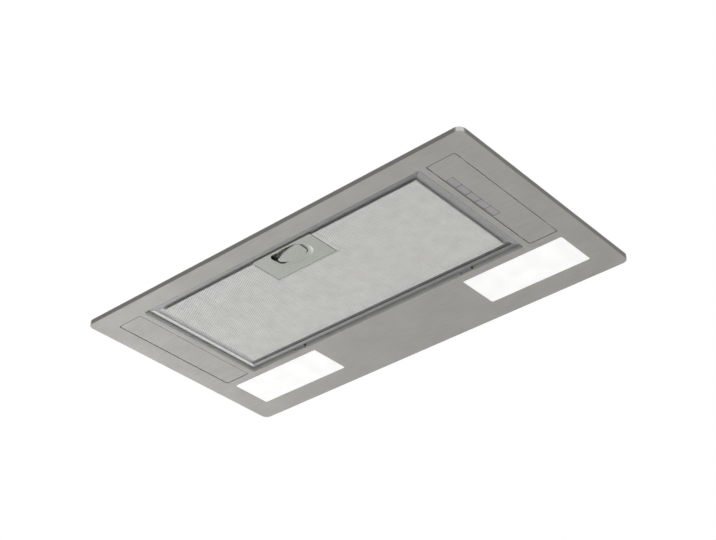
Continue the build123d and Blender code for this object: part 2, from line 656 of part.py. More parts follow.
def mesh_sheet(inset, z_a, latch_gap):
    """A flat net of rhombic gaps, cut out round the latch where latch_gap isn't None."""
    length = 2 * (FILTER_HALF - inset)
    depth = FILTER_BACK - FILTER_FRONT - 2 * inset
    centre_y = (FILTER_FRONT + FILTER_BACK) / 2
    pitch_x = (length - 2 * MESH_MARGIN) / MESH_COLUMNS
    pitch_y = (depth - 2 * MESH_MARGIN) / MESH_ROWS
    half_x = pitch_x * MESH_HOLE_SHARE / 2
    half_y = pitch_y * MESH_HOLE_SHARE / 2
    gap = Wire.make_polygon([(-half_x, 0), (0, -half_y), (half_x, 0), (0, half_y)])
    keep_x = LATCH_HALF + LATCH_FLANGE + half_x + MESH_SHEET
    keep_y = LATCH_BACK + LATCH_FLANGE + half_y + MESH_SHEET
    gaps = []
    for column in range(MESH_COLUMNS):
        for row in range(MESH_ROWS):
            x = (column - (MESH_COLUMNS - 1) / 2) * pitch_x
            y = (row - (MESH_ROWS - 1) / 2) * pitch_y
            near_latch = abs(x) < keep_x and y + centre_y < keep_y
            if latch_gap is None or not near_latch:
                gaps.append(Pos(x, y) * gap)
    outline = Rectangle(length, depth).face().outer_wire()
    sheet = Pos(0, centre_y, z_a) * extrude(Face(outline, gaps), MESH_SHEET, dir=(0, 0, 1))
    if latch_gap is not None:
        sheet -= block(-LATCH_HALF - latch_gap, LATCH_HALF + latch_gap, FILTER_FRONT,
                       LATCH_BACK + latch_gap, z_a - MESH_SHEET, z_a + 2 * MESH_SHEET)
    return sheet


def make_front_mesh():
    """The visible net, a shallow tray whose edges turn up to the frame's shelf."""
    mesh = mesh_sheet(MESH_INSET, LATCH_Z, CLOSE_GAP)
    edge = filter_ring(MESH_INSET, MESH_INSET + MESH_SHEET, MESH_RECESS,
                       FILTER_GROOVE_DEPTH - FILTER_SHEET)
    edge -= block(-LATCH_HALF - CLOSE_GAP, LATCH_HALF + CLOSE_GAP, FILTER_FRONT,
                  LATCH_BACK, FILTER_Z, FILTER_TOP)
    return mesh + edge


def make_media():
    """One corrugated layer of expanded metal between the two nets."""
    low = FILTER_Z + FILTER_GROOVE_DEPTH + CLOSE_GAP
    high = FILTER_TOP - FILTER_SHEET - MESH_SHEET - 2 * CLOSE_GAP - MEDIA_SHEET
    half = FILTER_HALF - FILTER_SHEET - INNER_GAP
    count = 2 * ceil(half / MEDIA_PITCH)
    xs = [-half + i * half / count for i in range(2 * count + 1)]
    under = [(x, low if i % 2 else high) for i, x in enumerate(xs)]
    over = [(x, z + MEDIA_SHEET) for x, z in reversed(under)]
    wave = make_face(Polyline(*under, *over, close=True))
    front = FILTER_FRONT + FILTER_SHEET + INNER_GAP
    depth = FILTER_BACK - FILTER_SHEET - INNER_GAP - front
    media = extrude(Plane.XZ.offset(-front - depth) * wave, amount=depth, dir=(0, -1, 0))
    clear = LATCH_FLANGE + INNER_GAP
    return media - block(-LATCH_HALF - clear, LATCH_HALF + clear, FILTER_FRONT,
                         LATCH_BACK + clear, FILTER_Z, FILTER_TOP)


def make_latch_plate():
    """A pressed tray with the finger pocket, whose flange lies on the net's inner side."""
    flange_z = LATCH_Z + MESH_SHEET
    plate = block(-LATCH_HALF, LATCH_HALF, LATCH_FRONT, LATCH_BACK, LATCH_Z, LATCH_TOP)
    plate -= block(-LATCH_HALF + LATCH_SHEET, LATCH_HALF - LATCH_SHEET,
                   LATCH_FRONT + LATCH_SHEET, LATCH_BACK - LATCH_SHEET,
                   LATCH_Z + LATCH_SHEET, LATCH_TOP)
    flange_front = FILTER_FRONT + FILTER_LIP + FILTER_SHELF + INNER_GAP
    flange = block(-LATCH_HALF - LATCH_FLANGE, LATCH_HALF + LATCH_FLANGE, flange_front,
                   LATCH_BACK + LATCH_FLANGE, flange_z, flange_z + LATCH_SHEET)
    flange -= block(-LATCH_HALF, LATCH_HALF, LATCH_FRONT, LATCH_BACK,
                    flange_z, flange_z + LATCH_SHEET)
    plate += flange
    plate -= rounded_block(POCKET_LENGTH, POCKET_DEPTH, POCKET_RADIUS, 0,
                           POCKET_FRONT + POCKET_DEPTH / 2, FILTER_Z, LATCH_Z + LATCH_SHEET)
    plate -= bolt_slots(LATCH_FRONT - INNER_GAP, LATCH_FRONT + LATCH_SHEET + INNER_GAP)
    return plate


def make_latch_slide():
    """A sliding sheet with two bolts, a finger slot and a dished pad behind it."""
    front = LATCH_FRONT + LATCH_SHEET + INNER_GAP
    slide = block(-SLIDE_LENGTH / 2, SLIDE_LENGTH / 2, front, SLIDE_BACK, SLIDE_Z,
                  SLIDE_Z + SLIDE_SHEET)
    window = POCKET_LENGTH / 2 - PAD_GAP
    slide -= block(-window, window, POCKET_FRONT, PAD_FRONT, SLIDE_Z, SLIDE_Z + SLIDE_SHEET)
    tip = OPENING_FRONT - PANEL_SHEET - BOLT_OVER_FLANGE
    for side in (-1, 1):
        slide += block(side * BOLT_X - BOLT_WIDTH / 2, side * BOLT_X + BOLT_WIDTH / 2,
                       tip, front, SLIDE_Z, SLIDE_Z + SLIDE_SHEET)
    pad_z = LATCH_Z + LATCH_SHEET + SLIDE_SIDE_GAP
    pad = block(-window, window, PAD_FRONT, SLIDE_BACK, pad_z, SLIDE_Z)
    dish_y = (PAD_FRONT + SLIDE_BACK) / 2
    pad -= rod_x(PAD_DISH_RADIUS, -window, window, dish_y, pad_z + PAD_DISH_DEPTH - PAD_DISH_RADIUS)
    return slide + pad


def make_latch_springs():
    """Two coil springs that push the slide forwards."""
    height = LATCH_TRAVEL + SPRING_SOLID - 2 * SPRING_WIRE_RADIUS - 2 * CLOSE_GAP
    springs = []
    for side in (-1, 1):
        start = (side * SPRING_X, SLIDE_BACK + SPRING_WIRE_RADIUS + CLOSE_GAP,
                 SLIDE_Z + SLIDE_SHEET / 2)
        path = Helix(height / SPRING_TURNS, height, SPRING_RADIUS, center=start,
                     direction=(0, 1, 0))
        section = Plane(path @ 0, z_dir=path % 0) * Circle(SPRING_WIRE_RADIUS)
        springs.append(sweep(section, path=path))
    return springs


def make_filter_hooks():
    """Two riveted hooks whose rolled beads turn in the slots of the panel's flange."""
    hooks = []
    low = HINGE_Z - HOOK_SHEET / 2
    for side in (-1, 1):
        x_a = side * HOOK_X - HOOK_WIDTH / 2
        x_b = side * HOOK_X + HOOK_WIDTH / 2
        hook = block(x_a, x_b, FILTER_BACK, FILTER_BACK + FILTER_SHEET, low,
                     low + HOOK_SHEET + HOOK_PLATE_HEIGHT)
        hook += block(x_a, x_b, FILTER_BACK, HINGE_Y + HOOK_TAIL, low, low + HOOK_SHEET)
        hook += rod_x(HOOK_BEAD_RADIUS, x_a, x_b, HINGE_Y, HINGE_Z)
        for x, z in rivet_places():
            hook -= rod_y(RIVET_RADIUS + THREAD_GAP, FILTER_BACK, FILTER_BACK + FILTER_SHEET, x, z)
        hooks.append(hook)
    return hooks


def make_filter_rivets():
    rivets = []
    for x, z in rivet_places():
        face = FILTER_BACK + FILTER_SHEET
        rivet = rod_y(RIVET_RADIUS, FILTER_BACK - FILTER_SHEET - INNER_GAP, face, x, z)
        rivets.append(rivet + rod_y(RIVET_HEAD_RADIUS, face, face + RIVET_HEAD_HEIGHT, x, z))
    return rivets


# Body of sheet metal
def long_wall_screws():
    """Screw places on the front and back walls: top plate, corner tabs, partitions."""
    low, high = LOW_SCREW_Z, HIGH_SCREW_Z
    tab_x = INNER_HALF_LENGTH - CORNER_TAB / 2
    partition_x = PARTITION_OUT + PARTITION_TAB / 2
    places = [(x, WALL_TOP - TOP_FLANGE / 2) for x in (-TOP_SCREW_X, 0, TOP_SCREW_X)]
    for x in (tab_x, partition_x):
        places += [(side * x, z) for side in (-1, 1) for z in (low, high)]
    return places


def end_wall_screws():
    return [(y, WALL_TOP - TOP_FLANGE / 2) for y in (-TOP_SCREW_Y, TOP_SCREW_Y)]


def long_wall_holes():
    reach = BODY_HALF_DEPTH + WALL_SHEET
    radius = SCREW_RADIUS + THREAD_GAP
    return [rod_y(radius, -reach, reach, x, z) for x, z in long_wall_screws()]


def end_wall_holes():
    reach = BODY_HALF_LENGTH + WALL_SHEET
    radius = SCREW_RADIUS + THREAD_GAP
    return [rod_x(radius, -reach, reach, y, z) for y, z in end_wall_screws()]


def stud_holes():
    radius = STUD_RADIUS + STUD_HOLE_GAP
    return [rod_z(radius, 0, FOOT_TOP + WALL_SHEET, x, y) for x, y in stud_places()]


def make_long_wall(side):
    """The front or back wall with its foot turned inwards over the panel's studs."""
    outer = side * BODY_HALF_DEPTH
    inner = side * INNER_HALF_DEPTH
    foot = side * (INNER_HALF_DEPTH - FOOT_WIDTH)
    foot_half = INNER_HALF_LENGTH - FOOT_END_GAP
    wall = block(-BODY_HALF_LENGTH, BODY_HALF_LENGTH, inner, outer, PANEL_SHEET, WALL_TOP)
    wall += block(-foot_half, foot_half, foot, inner, PANEL_SHEET, FOOT_TOP)
    return wall - stud_holes() - long_wall_holes()


def clip_places():
    return [(side, y) for side in (-1, 1) for y in (-CLIP_Y, CLIP_Y)]


def make_end_wall(side):
    """An end wall with a foot, corner tabs, fixing holes and holes for the clips."""
    outer = side * BODY_HALF_LENGTH
    inner = side * INNER_HALF_LENGTH
    foot = side * (INNER_HALF_LENGTH - FOOT_WIDTH)
    foot_half = INNER_HALF_DEPTH - FOOT_WIDTH - FOOT_END_GAP
    wall = block(inner, outer, -INNER_HALF_DEPTH, INNER_HALF_DEPTH, PANEL_SHEET, WALL_TOP)
    wall += block(foot, inner, -foot_half, foot_half, PANEL_SHEET, FOOT_TOP)
    tab = side * (INNER_HALF_LENGTH - CORNER_TAB)
    tab_top = WALL_TOP - TOP_FLANGE - FOOT_END_GAP
    for back in (-1, 1):
        wall += block(tab, inner, back * (INNER_HALF_DEPTH - WALL_SHEET),
                      back * INNER_HALF_DEPTH, CORNER_TAB_BASE, tab_top)
        wall -= rod_x(FIXING_HOLE_RADIUS, outer - side * 2 * WALL_SHEET, outer + side * WALL_SHEET,
                      back * FIXING_SPACING / 2, FIXING_HOLE_Z)
        wall -= rod_x(SCREW_RADIUS + THREAD_GAP, outer - side * 2 * WALL_SHEET,
                      outer + side * WALL_SHEET, back * CLIP_Y, CLIP_SCREW_Z)
    return wall - stud_holes() - long_wall_holes() - end_wall_holes()


def collar_screw_places():
    reach = COLLAR_SCREW_RADIUS * sqrt(0.5)
    return [(x, OUTLET_Y + y) for x in (-reach, reach) for y in (-reach, reach)]


def flange_screw_places():
    x = SCROLL_HALF + FLANGE_SCREW_INSET
    return [(side * x, y) for side in (-1, 1)
            for y in (TONGUE_Y + FLANGE_SCREW_Y_INSET, THROAT_BACK - FLANGE_SCREW_Y_INSET)]


def make_top_plate():
    """The lid, with turned-down flanges inside the walls and the blower's opening."""
    plate = block(-BODY_HALF_LENGTH, BODY_HALF_LENGTH, -BODY_HALF_DEPTH, BODY_HALF_DEPTH,
                  WALL_TOP, BODY_TOP)
    low = WALL_TOP - TOP_FLANGE
    for side in (-1, 1):
        y = side * INNER_HALF_DEPTH
        half = INNER_HALF_LENGTH - TOP_FLANGE_END_GAP
        plate += block(-half, half, y - side * WALL_SHEET, y, low, WALL_TOP)
        x = side * INNER_HALF_LENGTH
        half = INNER_HALF_DEPTH - TOP_FLANGE_END_GAP
        plate += block(x - side * WALL_SHEET, x, -half, half, low, WALL_TOP)
    plate -= block(-SCROLL_INNER_HALF, SCROLL_INNER_HALF, TONGUE_Y, THROAT_BACK,
                   WALL_TOP, BODY_TOP)
    for x, y in collar_screw_places() + flange_screw_places():
        plate -= rod_z(SCREW_RADIUS + THREAD_GAP, low, BODY_TOP + WALL_SHEET, x, y)
    plate -= rod_z(GLAND_THREAD_RADIUS + GLAND_HOLE_GAP, low, BODY_TOP + WALL_SHEET,
                   GLAND_X, GLAND_Y)
    return plate - long_wall_holes() - end_wall_holes()


def fitting_screw_places():
    """Screws from the air chamber through the right partition into the fittings."""
    switch_y = BUTTON_ROW_HALF - BUTTON_LENGTH / 2
    switch_z = SWITCH_Z + SWITCH_HEIGHT - SWITCH_WALL
    places = [(BUTTON_ROW_Y + side * switch_y, switch_z) for side in (-1, 1)]
    driver_z = DRIVER_Z + DRIVER_HEIGHT / 2
    places += [(DRIVER_FRONT + share * DRIVER_DEPTH, driver_z) for share in FITTING_SCREW_SHARES]
    box_z = WALL_TOP - TERMINAL_BOX_HEIGHT / 2
    places += [(TERMINAL_BOX_FRONT + share * TERMINAL_BOX_DEPTH, box_z) for share in FITTING_SCREW_SHARES]
    ear_z = CAPACITOR_RADIUS + CAPACITOR_CLIP_SHEET + CAPACITOR_CLIP_EAR / 2
    return places + [(CAPACITOR_Y, CAPACITOR_Z + side * ear_z) for side in (-1, 1)]


def fitting_holes():
    x_a = PARTITION_X - WALL_SHEET
    x_b = PARTITION_X + SCREW_LENGTH + THREAD_GAP
    return [rod_x(SCREW_RADIUS + THREAD_GAP, x_a, x_b, y, z) for y, z in fitting_screw_places()]


def cable_holes(side, extra):
    """Holes through one partition: lamp cable on both sides, motor cable on the right."""
    x_a = side * (PARTITION_X - WALL_SHEET)
    x_b = side * (PARTITION_OUT + TERMINAL_BOX_WALL)
    holes = [rod_x(LAMP_CABLE_RADIUS + extra, x_a, x_b, CABLE_Y, LAMP_CABLE_Z)]
    if side > 0:
        holes.append(rod_x(MOTOR_CABLE_RADIUS + extra, x_a, x_b, CABLE_Y, MOTOR_CABLE_Z))
    return holes


def make_partition(side):
    """A sheet that keeps the air chamber apart from the end, open over the light."""
    x_in = side * PARTITION_X
    x_out = side * PARTITION_OUT
    reach = INNER_HALF_DEPTH - WALL_SHEET - PARTITION_GAP
    sheet = block(x_in, x_out, -reach, reach, PANEL_SHEET, WALL_TOP - PARTITION_GAP)
    sheet += block(x_out, x_out + side * PARTITION_FOOT, -reach, reach, PANEL_SHEET, FOOT_TOP)
    for back in (-1, 1):
        sheet += block(x_out, x_out + side * PARTITION_TAB, back * (reach - WALL_SHEET),
                       back * reach, CORNER_TAB_BASE, WALL_TOP - TOP_FLANGE - FOOT_END_GAP)
    foot_edge = INNER_HALF_DEPTH - FOOT_WIDTH - PARTITION_GAP
    sheet -= block(x_in, x_out + side * PARTITION_TAB, -INNER_HALF_DEPTH, -foot_edge, 0,
                   FOOT_TOP + PARTITION_GAP)
    light_edge = LIGHT_FRONT - LENS_LIP - LENS_GAP - LIGHT_WALL - PARTITION_GAP
    sheet -= block(x_in, x_out + side * PARTITION_TAB, light_edge, INNER_HALF_DEPTH, 0,
                   PANEL_SHEET + LIGHT_HEIGHT + PARTITION_GAP)
    if side > 0:
        sheet -= fitting_holes()
    return sheet - cable_holes(side, GROMMET_WALL + CABLE_GAP) - long_wall_holes()


def screw(head_at, direction, head_radius=SCREW_HEAD_RADIUS, head_height=SCREW_HEAD_HEIGHT,
          shank_radius=SCREW_RADIUS, length=SCREW_LENGTH):
    """A screw whose head lies on a face at head_at; direction points into the metal."""
    place = Plane(origin=head_at, z_dir=direction)
    up = (Align.CENTER, Align.CENTER, Align.MIN)
    down = (Align.CENTER, Align.CENTER, Align.MAX)
    head = Cylinder(head_radius, head_height, align=down)
    head = fillet(head.faces().sort_by(Axis.Z)[0].edges(), head_height / 3)
    return place * (head + Cylinder(shank_radius, length, align=up))


def make_body_screws():
    screws = []
    for side in (-1, 1):
        y = side * BODY_HALF_DEPTH
        screws += [screw((x, y, z), (0, -side, 0)) for x, z in long_wall_screws()]
        x = side * BODY_HALF_LENGTH
        screws += [screw((x, y, z), (-side, 0, 0)) for y, z in end_wall_screws()]
        x += side * CLIP_SHEET
        screws += [screw((x, y, CLIP_SCREW_Z), (-side, 0, 0)) for y in (-CLIP_Y, CLIP_Y)]
    screws += [screw((PARTITION_X, y, z), (1, 0, 0)) for y, z in fitting_screw_places()]
    collar_z = BODY_TOP + COLLAR_FLANGE_SHEET
    screws += [screw((x, y, collar_z), (0, 0, -1)) for x, y in collar_screw_places()]
    return screws


def make_spring_clips():
    """Leaf springs that spread out over the edge of the cabinet's cut-out."""
    clips = []
    wall = BODY_HALF_LENGTH + CLIP_SHEET / 2
    catch = RIM_HEIGHT + CLIP_CATCH_ABOVE_RIM
    line = [(wall, CLIP_TOP), (wall, CLIP_TOP - CLIP_FOOT),
            (wall + CLIP_SPREAD, catch + CLIP_RETURN), (wall + CLIP_SHEET * 2, catch)]
    section = bent_strip(line, CLIP_SHEET)
    for side, y in clip_places():
        clip = extrude(Plane.XZ.offset(-CLIP_WIDTH / 2) * section, amount=CLIP_WIDTH,
                       dir=(0, -1, 0))
        clip -= rod_x(SCREW_RADIUS + THREAD_GAP, wall - CLIP_SHEET, wall + CLIP_SHEET, 0,
                      CLIP_SCREW_Z)
        clips.append(Pos(0, y, 0) * (clip if side > 0 else mirror(clip, about=Plane.YZ)))
    return clips


# Blower
def volute_face(grow):
    """The scroll's outline, drawn with quarter arcs of growing radius, in Y and Z."""
    radius = VOLUTE_RADIUS + grow
    step = VOLUTE_STEP
    tongue = TONGUE_Y - grow
    tongue_z = FAN_Z + sqrt(radius ** 2 - (tongue - FAN_Y) ** 2)
    back = FAN_Y + radius + 4 * step
    half = sqrt(0.5)
    top = (FAN_Y, FAN_Z + radius)
    front = (FAN_Y - radius - step, FAN_Z - step)
    bottom = (FAN_Y + step, FAN_Z - radius - 3 * step)
    first = radius + step
    second = radius + 2 * step
    third = radius + 3 * step
    start_half = radians(90) / 2 + radians(TONGUE_ANGLE) / 2
    edges = [
        ThreePointArc((tongue, tongue_z),
                      (FAN_Y + radius * cos(start_half), FAN_Z + radius * sin(start_half)), top),
        ThreePointArc(top, (FAN_Y - first * half, FAN_Z - step + first * half), front),
        ThreePointArc(front, (FAN_Y + step - second * half, FAN_Z - step - second * half), bottom),
        ThreePointArc(bottom, (FAN_Y + step + third * half, FAN_Z - third * half), (back, FAN_Z)),
        Line((back, FAN_Z), (back, WALL_TOP)),
        Line((back, WALL_TOP), (tongue, WALL_TOP)),
        Line((tongue, WALL_TOP), (tongue, tongue_z)),
    ]
    return make_face(edges)


def lug_places():
    """Screw lugs round the split of the two halves, just outside the scroll's wall."""
    step = VOLUTE_STEP
    out = VOLUTE_RADIUS + SCROLL_WALL + SCROLL_SCREW_HEAD_RADIUS + LUG_GAP
    arcs = ((FAN_Y, FAN_Z - step, out + step),
            (FAN_Y + step, FAN_Z - step, out + 2 * step),
            (FAN_Y + step, FAN_Z, out + 3 * step),
            (FAN_Y + step, FAN_Z, out + 3 * step))
    return [(y + radius * cos(radians(angle)), z + radius * sin(radians(angle)))
            for angle, (y, z, radius) in zip(LUG_ANGLES, arcs)]


def bracket_angles():
    return [90 + 360 * i / BRACKET_ARM_COUNT for i in range(BRACKET_ARM_COUNT)]


def bracket_screw_places():
    reach = INLET_RADIUS + BRACKET_SCREW_OVERLAP
    return [(FAN_Y + reach * cos(radians(angle)), FAN_Z + reach * sin(radians(angle)))
            for angle in bracket_angles()]


def make_scroll_half(side):
    """One half of the blower's housing: side plate, curved wall, lugs and top flange."""
    half = extrude_x(volute_face(SCROLL_WALL), 0, side * SCROLL_HALF)
    flange_x = side * (SCROLL_HALF + SCROLL_FLANGE_SIDE)
    half += block(0, flange_x, TONGUE_Y - SCROLL_FLANGE, THROAT_BACK + SCROLL_FLANGE,
                  WALL_TOP - SCROLL_WALL, WALL_TOP)
    for y, z in lug_places():
        half += rod_x(LUG_RADIUS, 0, side * LUG_THICKNESS, y, z)
    half -= extrude_x(volute_face(0), 0, side * SCROLL_INNER_HALF)
    half -= rod_x(INLET_RADIUS, 0, 2 * side * SCROLL_HALF, FAN_Y, FAN_Z)
    ring_x = side * (SCROLL_INNER_HALF - INLET_RING_LENGTH)
    ring = rod_x(INLET_RADIUS + INLET_RING_WALL, ring_x, side * SCROLL_INNER_HALF, FAN_Y, FAN_Z)
    half += ring - rod_x(INLET_RADIUS, ring_x, side * SCROLL_INNER_HALF, FAN_Y, FAN_Z)
    hole = SCROLL_SCREW_RADIUS + THREAD_GAP
    for y, z in lug_places():
        half -= rod_x(hole, 0, side * LUG_THICKNESS, y, z)
    for x, y in flange_screw_places():
        half -= rod_z(hole, WALL_TOP - 2 * SCROLL_WALL, WALL_TOP, x, y)
    if side < 0:
        for y, z in bracket_screw_places():
            half -= rod_x(hole, -SCROLL_HALF, -SCROLL_INNER_HALF, y, z)
    return half


def make_scroll_screws():
    """Screws of the split, of the top flange and of the motor's bracket."""
    size = {"head_radius": SCROLL_SCREW_HEAD_RADIUS, "head_height": SCROLL_SCREW_HEAD_HEIGHT,
            "shank_radius": SCREW_RADIUS}
    screws = [screw((LUG_THICKNESS, y, z), (-1, 0, 0), length=2 * LUG_THICKNESS, **size)
              for y, z in lug_places()]
    screws += [screw((x, y, WALL_TOP - SCROLL_WALL), (0, 0, 1), length=2 * SCROLL_WALL, **size)
               for x, y in flange_screw_places()]
    bracket_x = -SCROLL_HALF - BRACKET_SHEET
    screws += [screw((bracket_x, y, z), (1, 0, 0), length=SCREW_LENGTH, **size)
               for y, z in bracket_screw_places()]
    return screws


def vane_face():
    """One forward-curved vane, seen along X, at the top of the wheel."""
    outer = WHEEL_RADIUS - VANE_THICKNESS
    inner = WHEEL_INNER_RADIUS + VANE_THICKNESS
    lead = radians(VANE_LEAD_ANGLE)
    tip = (-outer * sin(lead), outer * cos(lead))
    chord = hypot(tip[0], tip[1] - inner)
    bow = (tip[0] / 2 + VANE_BOW * (tip[1] - inner) / chord,
           (inner + tip[1]) / 2 - VANE_BOW * tip[0] / chord)
    return trace(ThreePointArc((0, inner), bow, tip), VANE_THICKNESS).face()


def make_fan_wheel():
    """A steel wheel: a disc with the hub, long vanes in the disc's slots, two end rings."""
    half = WHEEL_WIDTH / 2
    vane = extrude_x(vane_face(), -half + WHEEL_RING, half - WHEEL_RING)
    vanes = [Rot(360 * i / VANE_COUNT, 0, 0) * vane for i in range(VANE_COUNT)]
    disc = rod_x(WHEEL_INNER_RADIUS + DISC_INTO_VANES, -WHEEL_DISC / 2, WHEEL_DISC / 2, 0, 0)
    disc += rod_x(HUB_RADIUS, -HUB_LEFT, HUB_RIGHT, 0, 0)
    disc -= vanes + [rod_x(SHAFT_RADIUS + FIT_GAP, -HUB_LEFT, HUB_RIGHT, 0, 0)]
    rings = []
    for side in (-1, 1):
        ring = rod_x(WHEEL_RADIUS, side * (half - WHEEL_RING), side * half, 0, 0)
        rings.append(ring - rod_x(WHEEL_INNER_RADIUS, side * (half - WHEEL_RING), side * half, 0, 0))
    return [Pos(0, FAN_Y, FAN_Z) * piece for piece in [disc] + rings + vanes]


def make_wheel_nut():
    outline = RegularPolygon(WHEEL_NUT_ACROSS_FLATS / 2, 6, major_radius=False)
    nut = Pos(FAN_Y, FAN_Z) * outline
    nut = extrude_x(nut, HUB_RIGHT, HUB_RIGHT + WHEEL_NUT_HEIGHT)
    return nut - rod_x(SHAFT_RADIUS + FIT_GAP, HUB_RIGHT, HUB_RIGHT + WHEEL_NUT_HEIGHT,
                       FAN_Y, FAN_Z)


def make_motor_shaft():
    right = HUB_RIGHT + WHEEL_NUT_HEIGHT + SHAFT_END_RIGHT
    return rod_x(SHAFT_RADIUS, MOTOR_LEFT - SHAFT_END_LEFT, right, FAN_Y, FAN_Z)


def make_motor_cup(outer_x, split_x):
    """One cup of the motor's housing, with a boss inside for its bearing."""
    inward = 1 if split_x > outer_x else -1
    wall_x = outer_x + inward * MOTOR_WALL
    boss_x = wall_x + inward * BEARING_WIDTH
    cup = rod_x(MOTOR_RADIUS, outer_x, split_x, FAN_Y, FAN_Z)
    cup -= rod_x(MOTOR_RADIUS - MOTOR_WALL, wall_x, split_x, FAN_Y, FAN_Z)
    cup += rod_x(BEARING_RADIUS + BEARING_BOSS_WALL, wall_x, boss_x, FAN_Y, FAN_Z)
    cup -= rod_x(BEARING_RADIUS, wall_x, boss_x, FAN_Y, FAN_Z)
    return cup - rod_x(SHAFT_RADIUS + SHAFT_HOLE_GAP, outer_x, wall_x, FAN_Y, FAN_Z)


def make_bearings():
    bearings = []
    for outer_x, inward in ((MOTOR_LEFT, 1), (MOTOR_RIGHT, -1)):
        x_a = outer_x + inward * MOTOR_WALL
        x_b = x_a + inward * BEARING_WIDTH
        bearing = rod_x(BEARING_RADIUS, x_a, x_b, FAN_Y, FAN_Z)
        bearings.append(bearing - rod_x(SHAFT_RADIUS + BEARING_RUNNING_GAP, x_a, x_b,
                                        FAN_Y, FAN_Z))
    return bearings


def make_stator():
    """Core and windings of the motor, fixed in its housing."""
    outer = MOTOR_RADIUS - MOTOR_WALL - STATOR_GAP
    inner = outer - STATOR_WALL
    x_a = STATOR_X - STATOR_LENGTH / 2
    x_b = STATOR_X + STATOR_LENGTH / 2
    stator = rod_x(outer, x_a, x_b, FAN_Y, FAN_Z)
    stator += rod_x(outer - WINDING_INSET, x_a - WINDING_LENGTH, x_b + WINDING_LENGTH,
                    FAN_Y, FAN_Z)
    stator -= rod_x(inner + WINDING_INSET, x_a - WINDING_LENGTH, x_a, FAN_Y, FAN_Z)
    stator -= rod_x(inner + WINDING_INSET, x_b, x_b + WINDING_LENGTH, FAN_Y, FAN_Z)
    return stator - rod_x(inner, x_a, x_b, FAN_Y, FAN_Z)


def make_rotor():
    radius = MOTOR_RADIUS - MOTOR_WALL - STATOR_GAP - STATOR_WALL - AIR_GAP
    x_a = STATOR_X - STATOR_LENGTH / 2
    x_b = STATOR_X + STATOR_LENGTH / 2
    rotor = rod_x(radius, x_a, x_b, FAN_Y, FAN_Z)
    return rotor - rod_x(SHAFT_RADIUS + FIT_GAP, x_a, x_b, FAN_Y, FAN_Z)


def make_motor_bracket():
    """A ring round the motor with three arms screwed to the scroll's left side."""
    x_out = -SCROLL_HALF - BRACKET_RING_LENGTH
    inner = MOTOR_RADIUS + INNER_GAP / 2
    outer = inner + BRACKET_RING_WALL
    reach = INLET_RADIUS + BRACKET_ARM_OVERLAP
    bracket = rod_x(outer, x_out, -SCROLL_HALF, 0, 0)
    for angle in bracket_angles():
        arm = block(-SCROLL_HALF - BRACKET_SHEET, -SCROLL_HALF, 0, reach,
                    -BRACKET_ARM_WIDTH / 2, BRACKET_ARM_WIDTH / 2)
        bracket += Rot(angle, 0, 0) * arm
    bracket -= rod_x(inner, x_out, -SCROLL_HALF, 0, 0)
    bracket = Pos(0, FAN_Y, FAN_Z) * bracket
    for y, z in bracket_screw_places():
        bracket -= rod_x(SCROLL_SCREW_RADIUS + THREAD_GAP, x_out, -SCROLL_HALF, y, z)
    return bracket


# Duct outlet
def make_outlet_collar():
    """The duct spigot with its flange, the flaps' ledge and the pin's two bosses."""
    ledge_top = FLAP_Z - FLAP_THICKNESS / 2 - FLAP_LEDGE_GAP
    top = BODY_TOP + SPIGOT_HEIGHT
    collar = rod_z(COLLAR_RADIUS, BODY_TOP, BODY_TOP + COLLAR_FLANGE_SHEET, 0, OUTLET_Y)
    collar += rod_z(SPIGOT_RADIUS, BODY_TOP, top, 0, OUTLET_Y)
    collar -= rod_z(SPIGOT_INNER, BODY_TOP, top, 0, OUTLET_Y)
    ledge = rod_z(SPIGOT_INNER, ledge_top - LEDGE_HEIGHT, ledge_top, 0, OUTLET_Y)
    ledge -= rod_z(SPIGOT_INNER - LEDGE_WIDTH, ledge_top - LEDGE_HEIGHT, ledge_top, 0, OUTLET_Y)
    collar += ledge
    for side in (-1, 1):
        end = side * (SPIGOT_INNER + PIN_IN_WALL)
        collar += rod_x(PIN_BOSS_RADIUS, end - side * (PIN_BOSS_LENGTH + PIN_IN_WALL), end,
                        OUTLET_Y, FLAP_Z)
    pin_end = SPIGOT_INNER + PIN_IN_WALL
    collar -= rod_x(FLAP_PIN_RADIUS + FIT_GAP, -pin_end, pin_end, OUTLET_Y, FLAP_Z)
    for x, y in collar_screw_places():
        collar -= rod_z(SCREW_RADIUS + THREAD_GAP, BODY_TOP, BODY_TOP + COLLAR_FLANGE_SHEET, x, y)
    return collar


def make_flap_pin():
    pin_end = SPIGOT_INNER + PIN_IN_WALL
    return rod_x(FLAP_PIN_RADIUS, -pin_end, pin_end, OUTLET_Y, FLAP_Z)


def make_flap(back):
    """A half-round flap with two knuckles on the pin; back is -1 for the front flap."""
    radius = SPIGOT_INNER - FLAP_EDGE_GAP
    z_a = FLAP_Z - FLAP_THICKNESS / 2
    z_b = FLAP_Z + FLAP_THICKNESS / 2
    flap = rod_z(radius, z_a, z_b, 0, OUTLET_Y)
    flap -= block(-radius, radius, OUTLET_Y + back * FLAP_FROM_PIN, OUTLET_Y - back * radius,
                  z_a, z_b)
    for x in KNUCKLE_PLACES[(1 + back) // 2::2]:
        x_a = x - KNUCKLE_LENGTH / 2
        x_b = x + KNUCKLE_LENGTH / 2
        flap += rod_x(KNUCKLE_RADIUS, x_a, x_b, OUTLET_Y, FLAP_Z)
        flap += block(x_a, x_b, OUTLET_Y, OUTLET_Y + back * 2 * FLAP_FROM_PIN, z_a, z_b)
    return flap - rod_x(FLAP_PIN_RADIUS + FLAP_PIN_GAP, -radius, radius, OUTLET_Y, FLAP_Z)


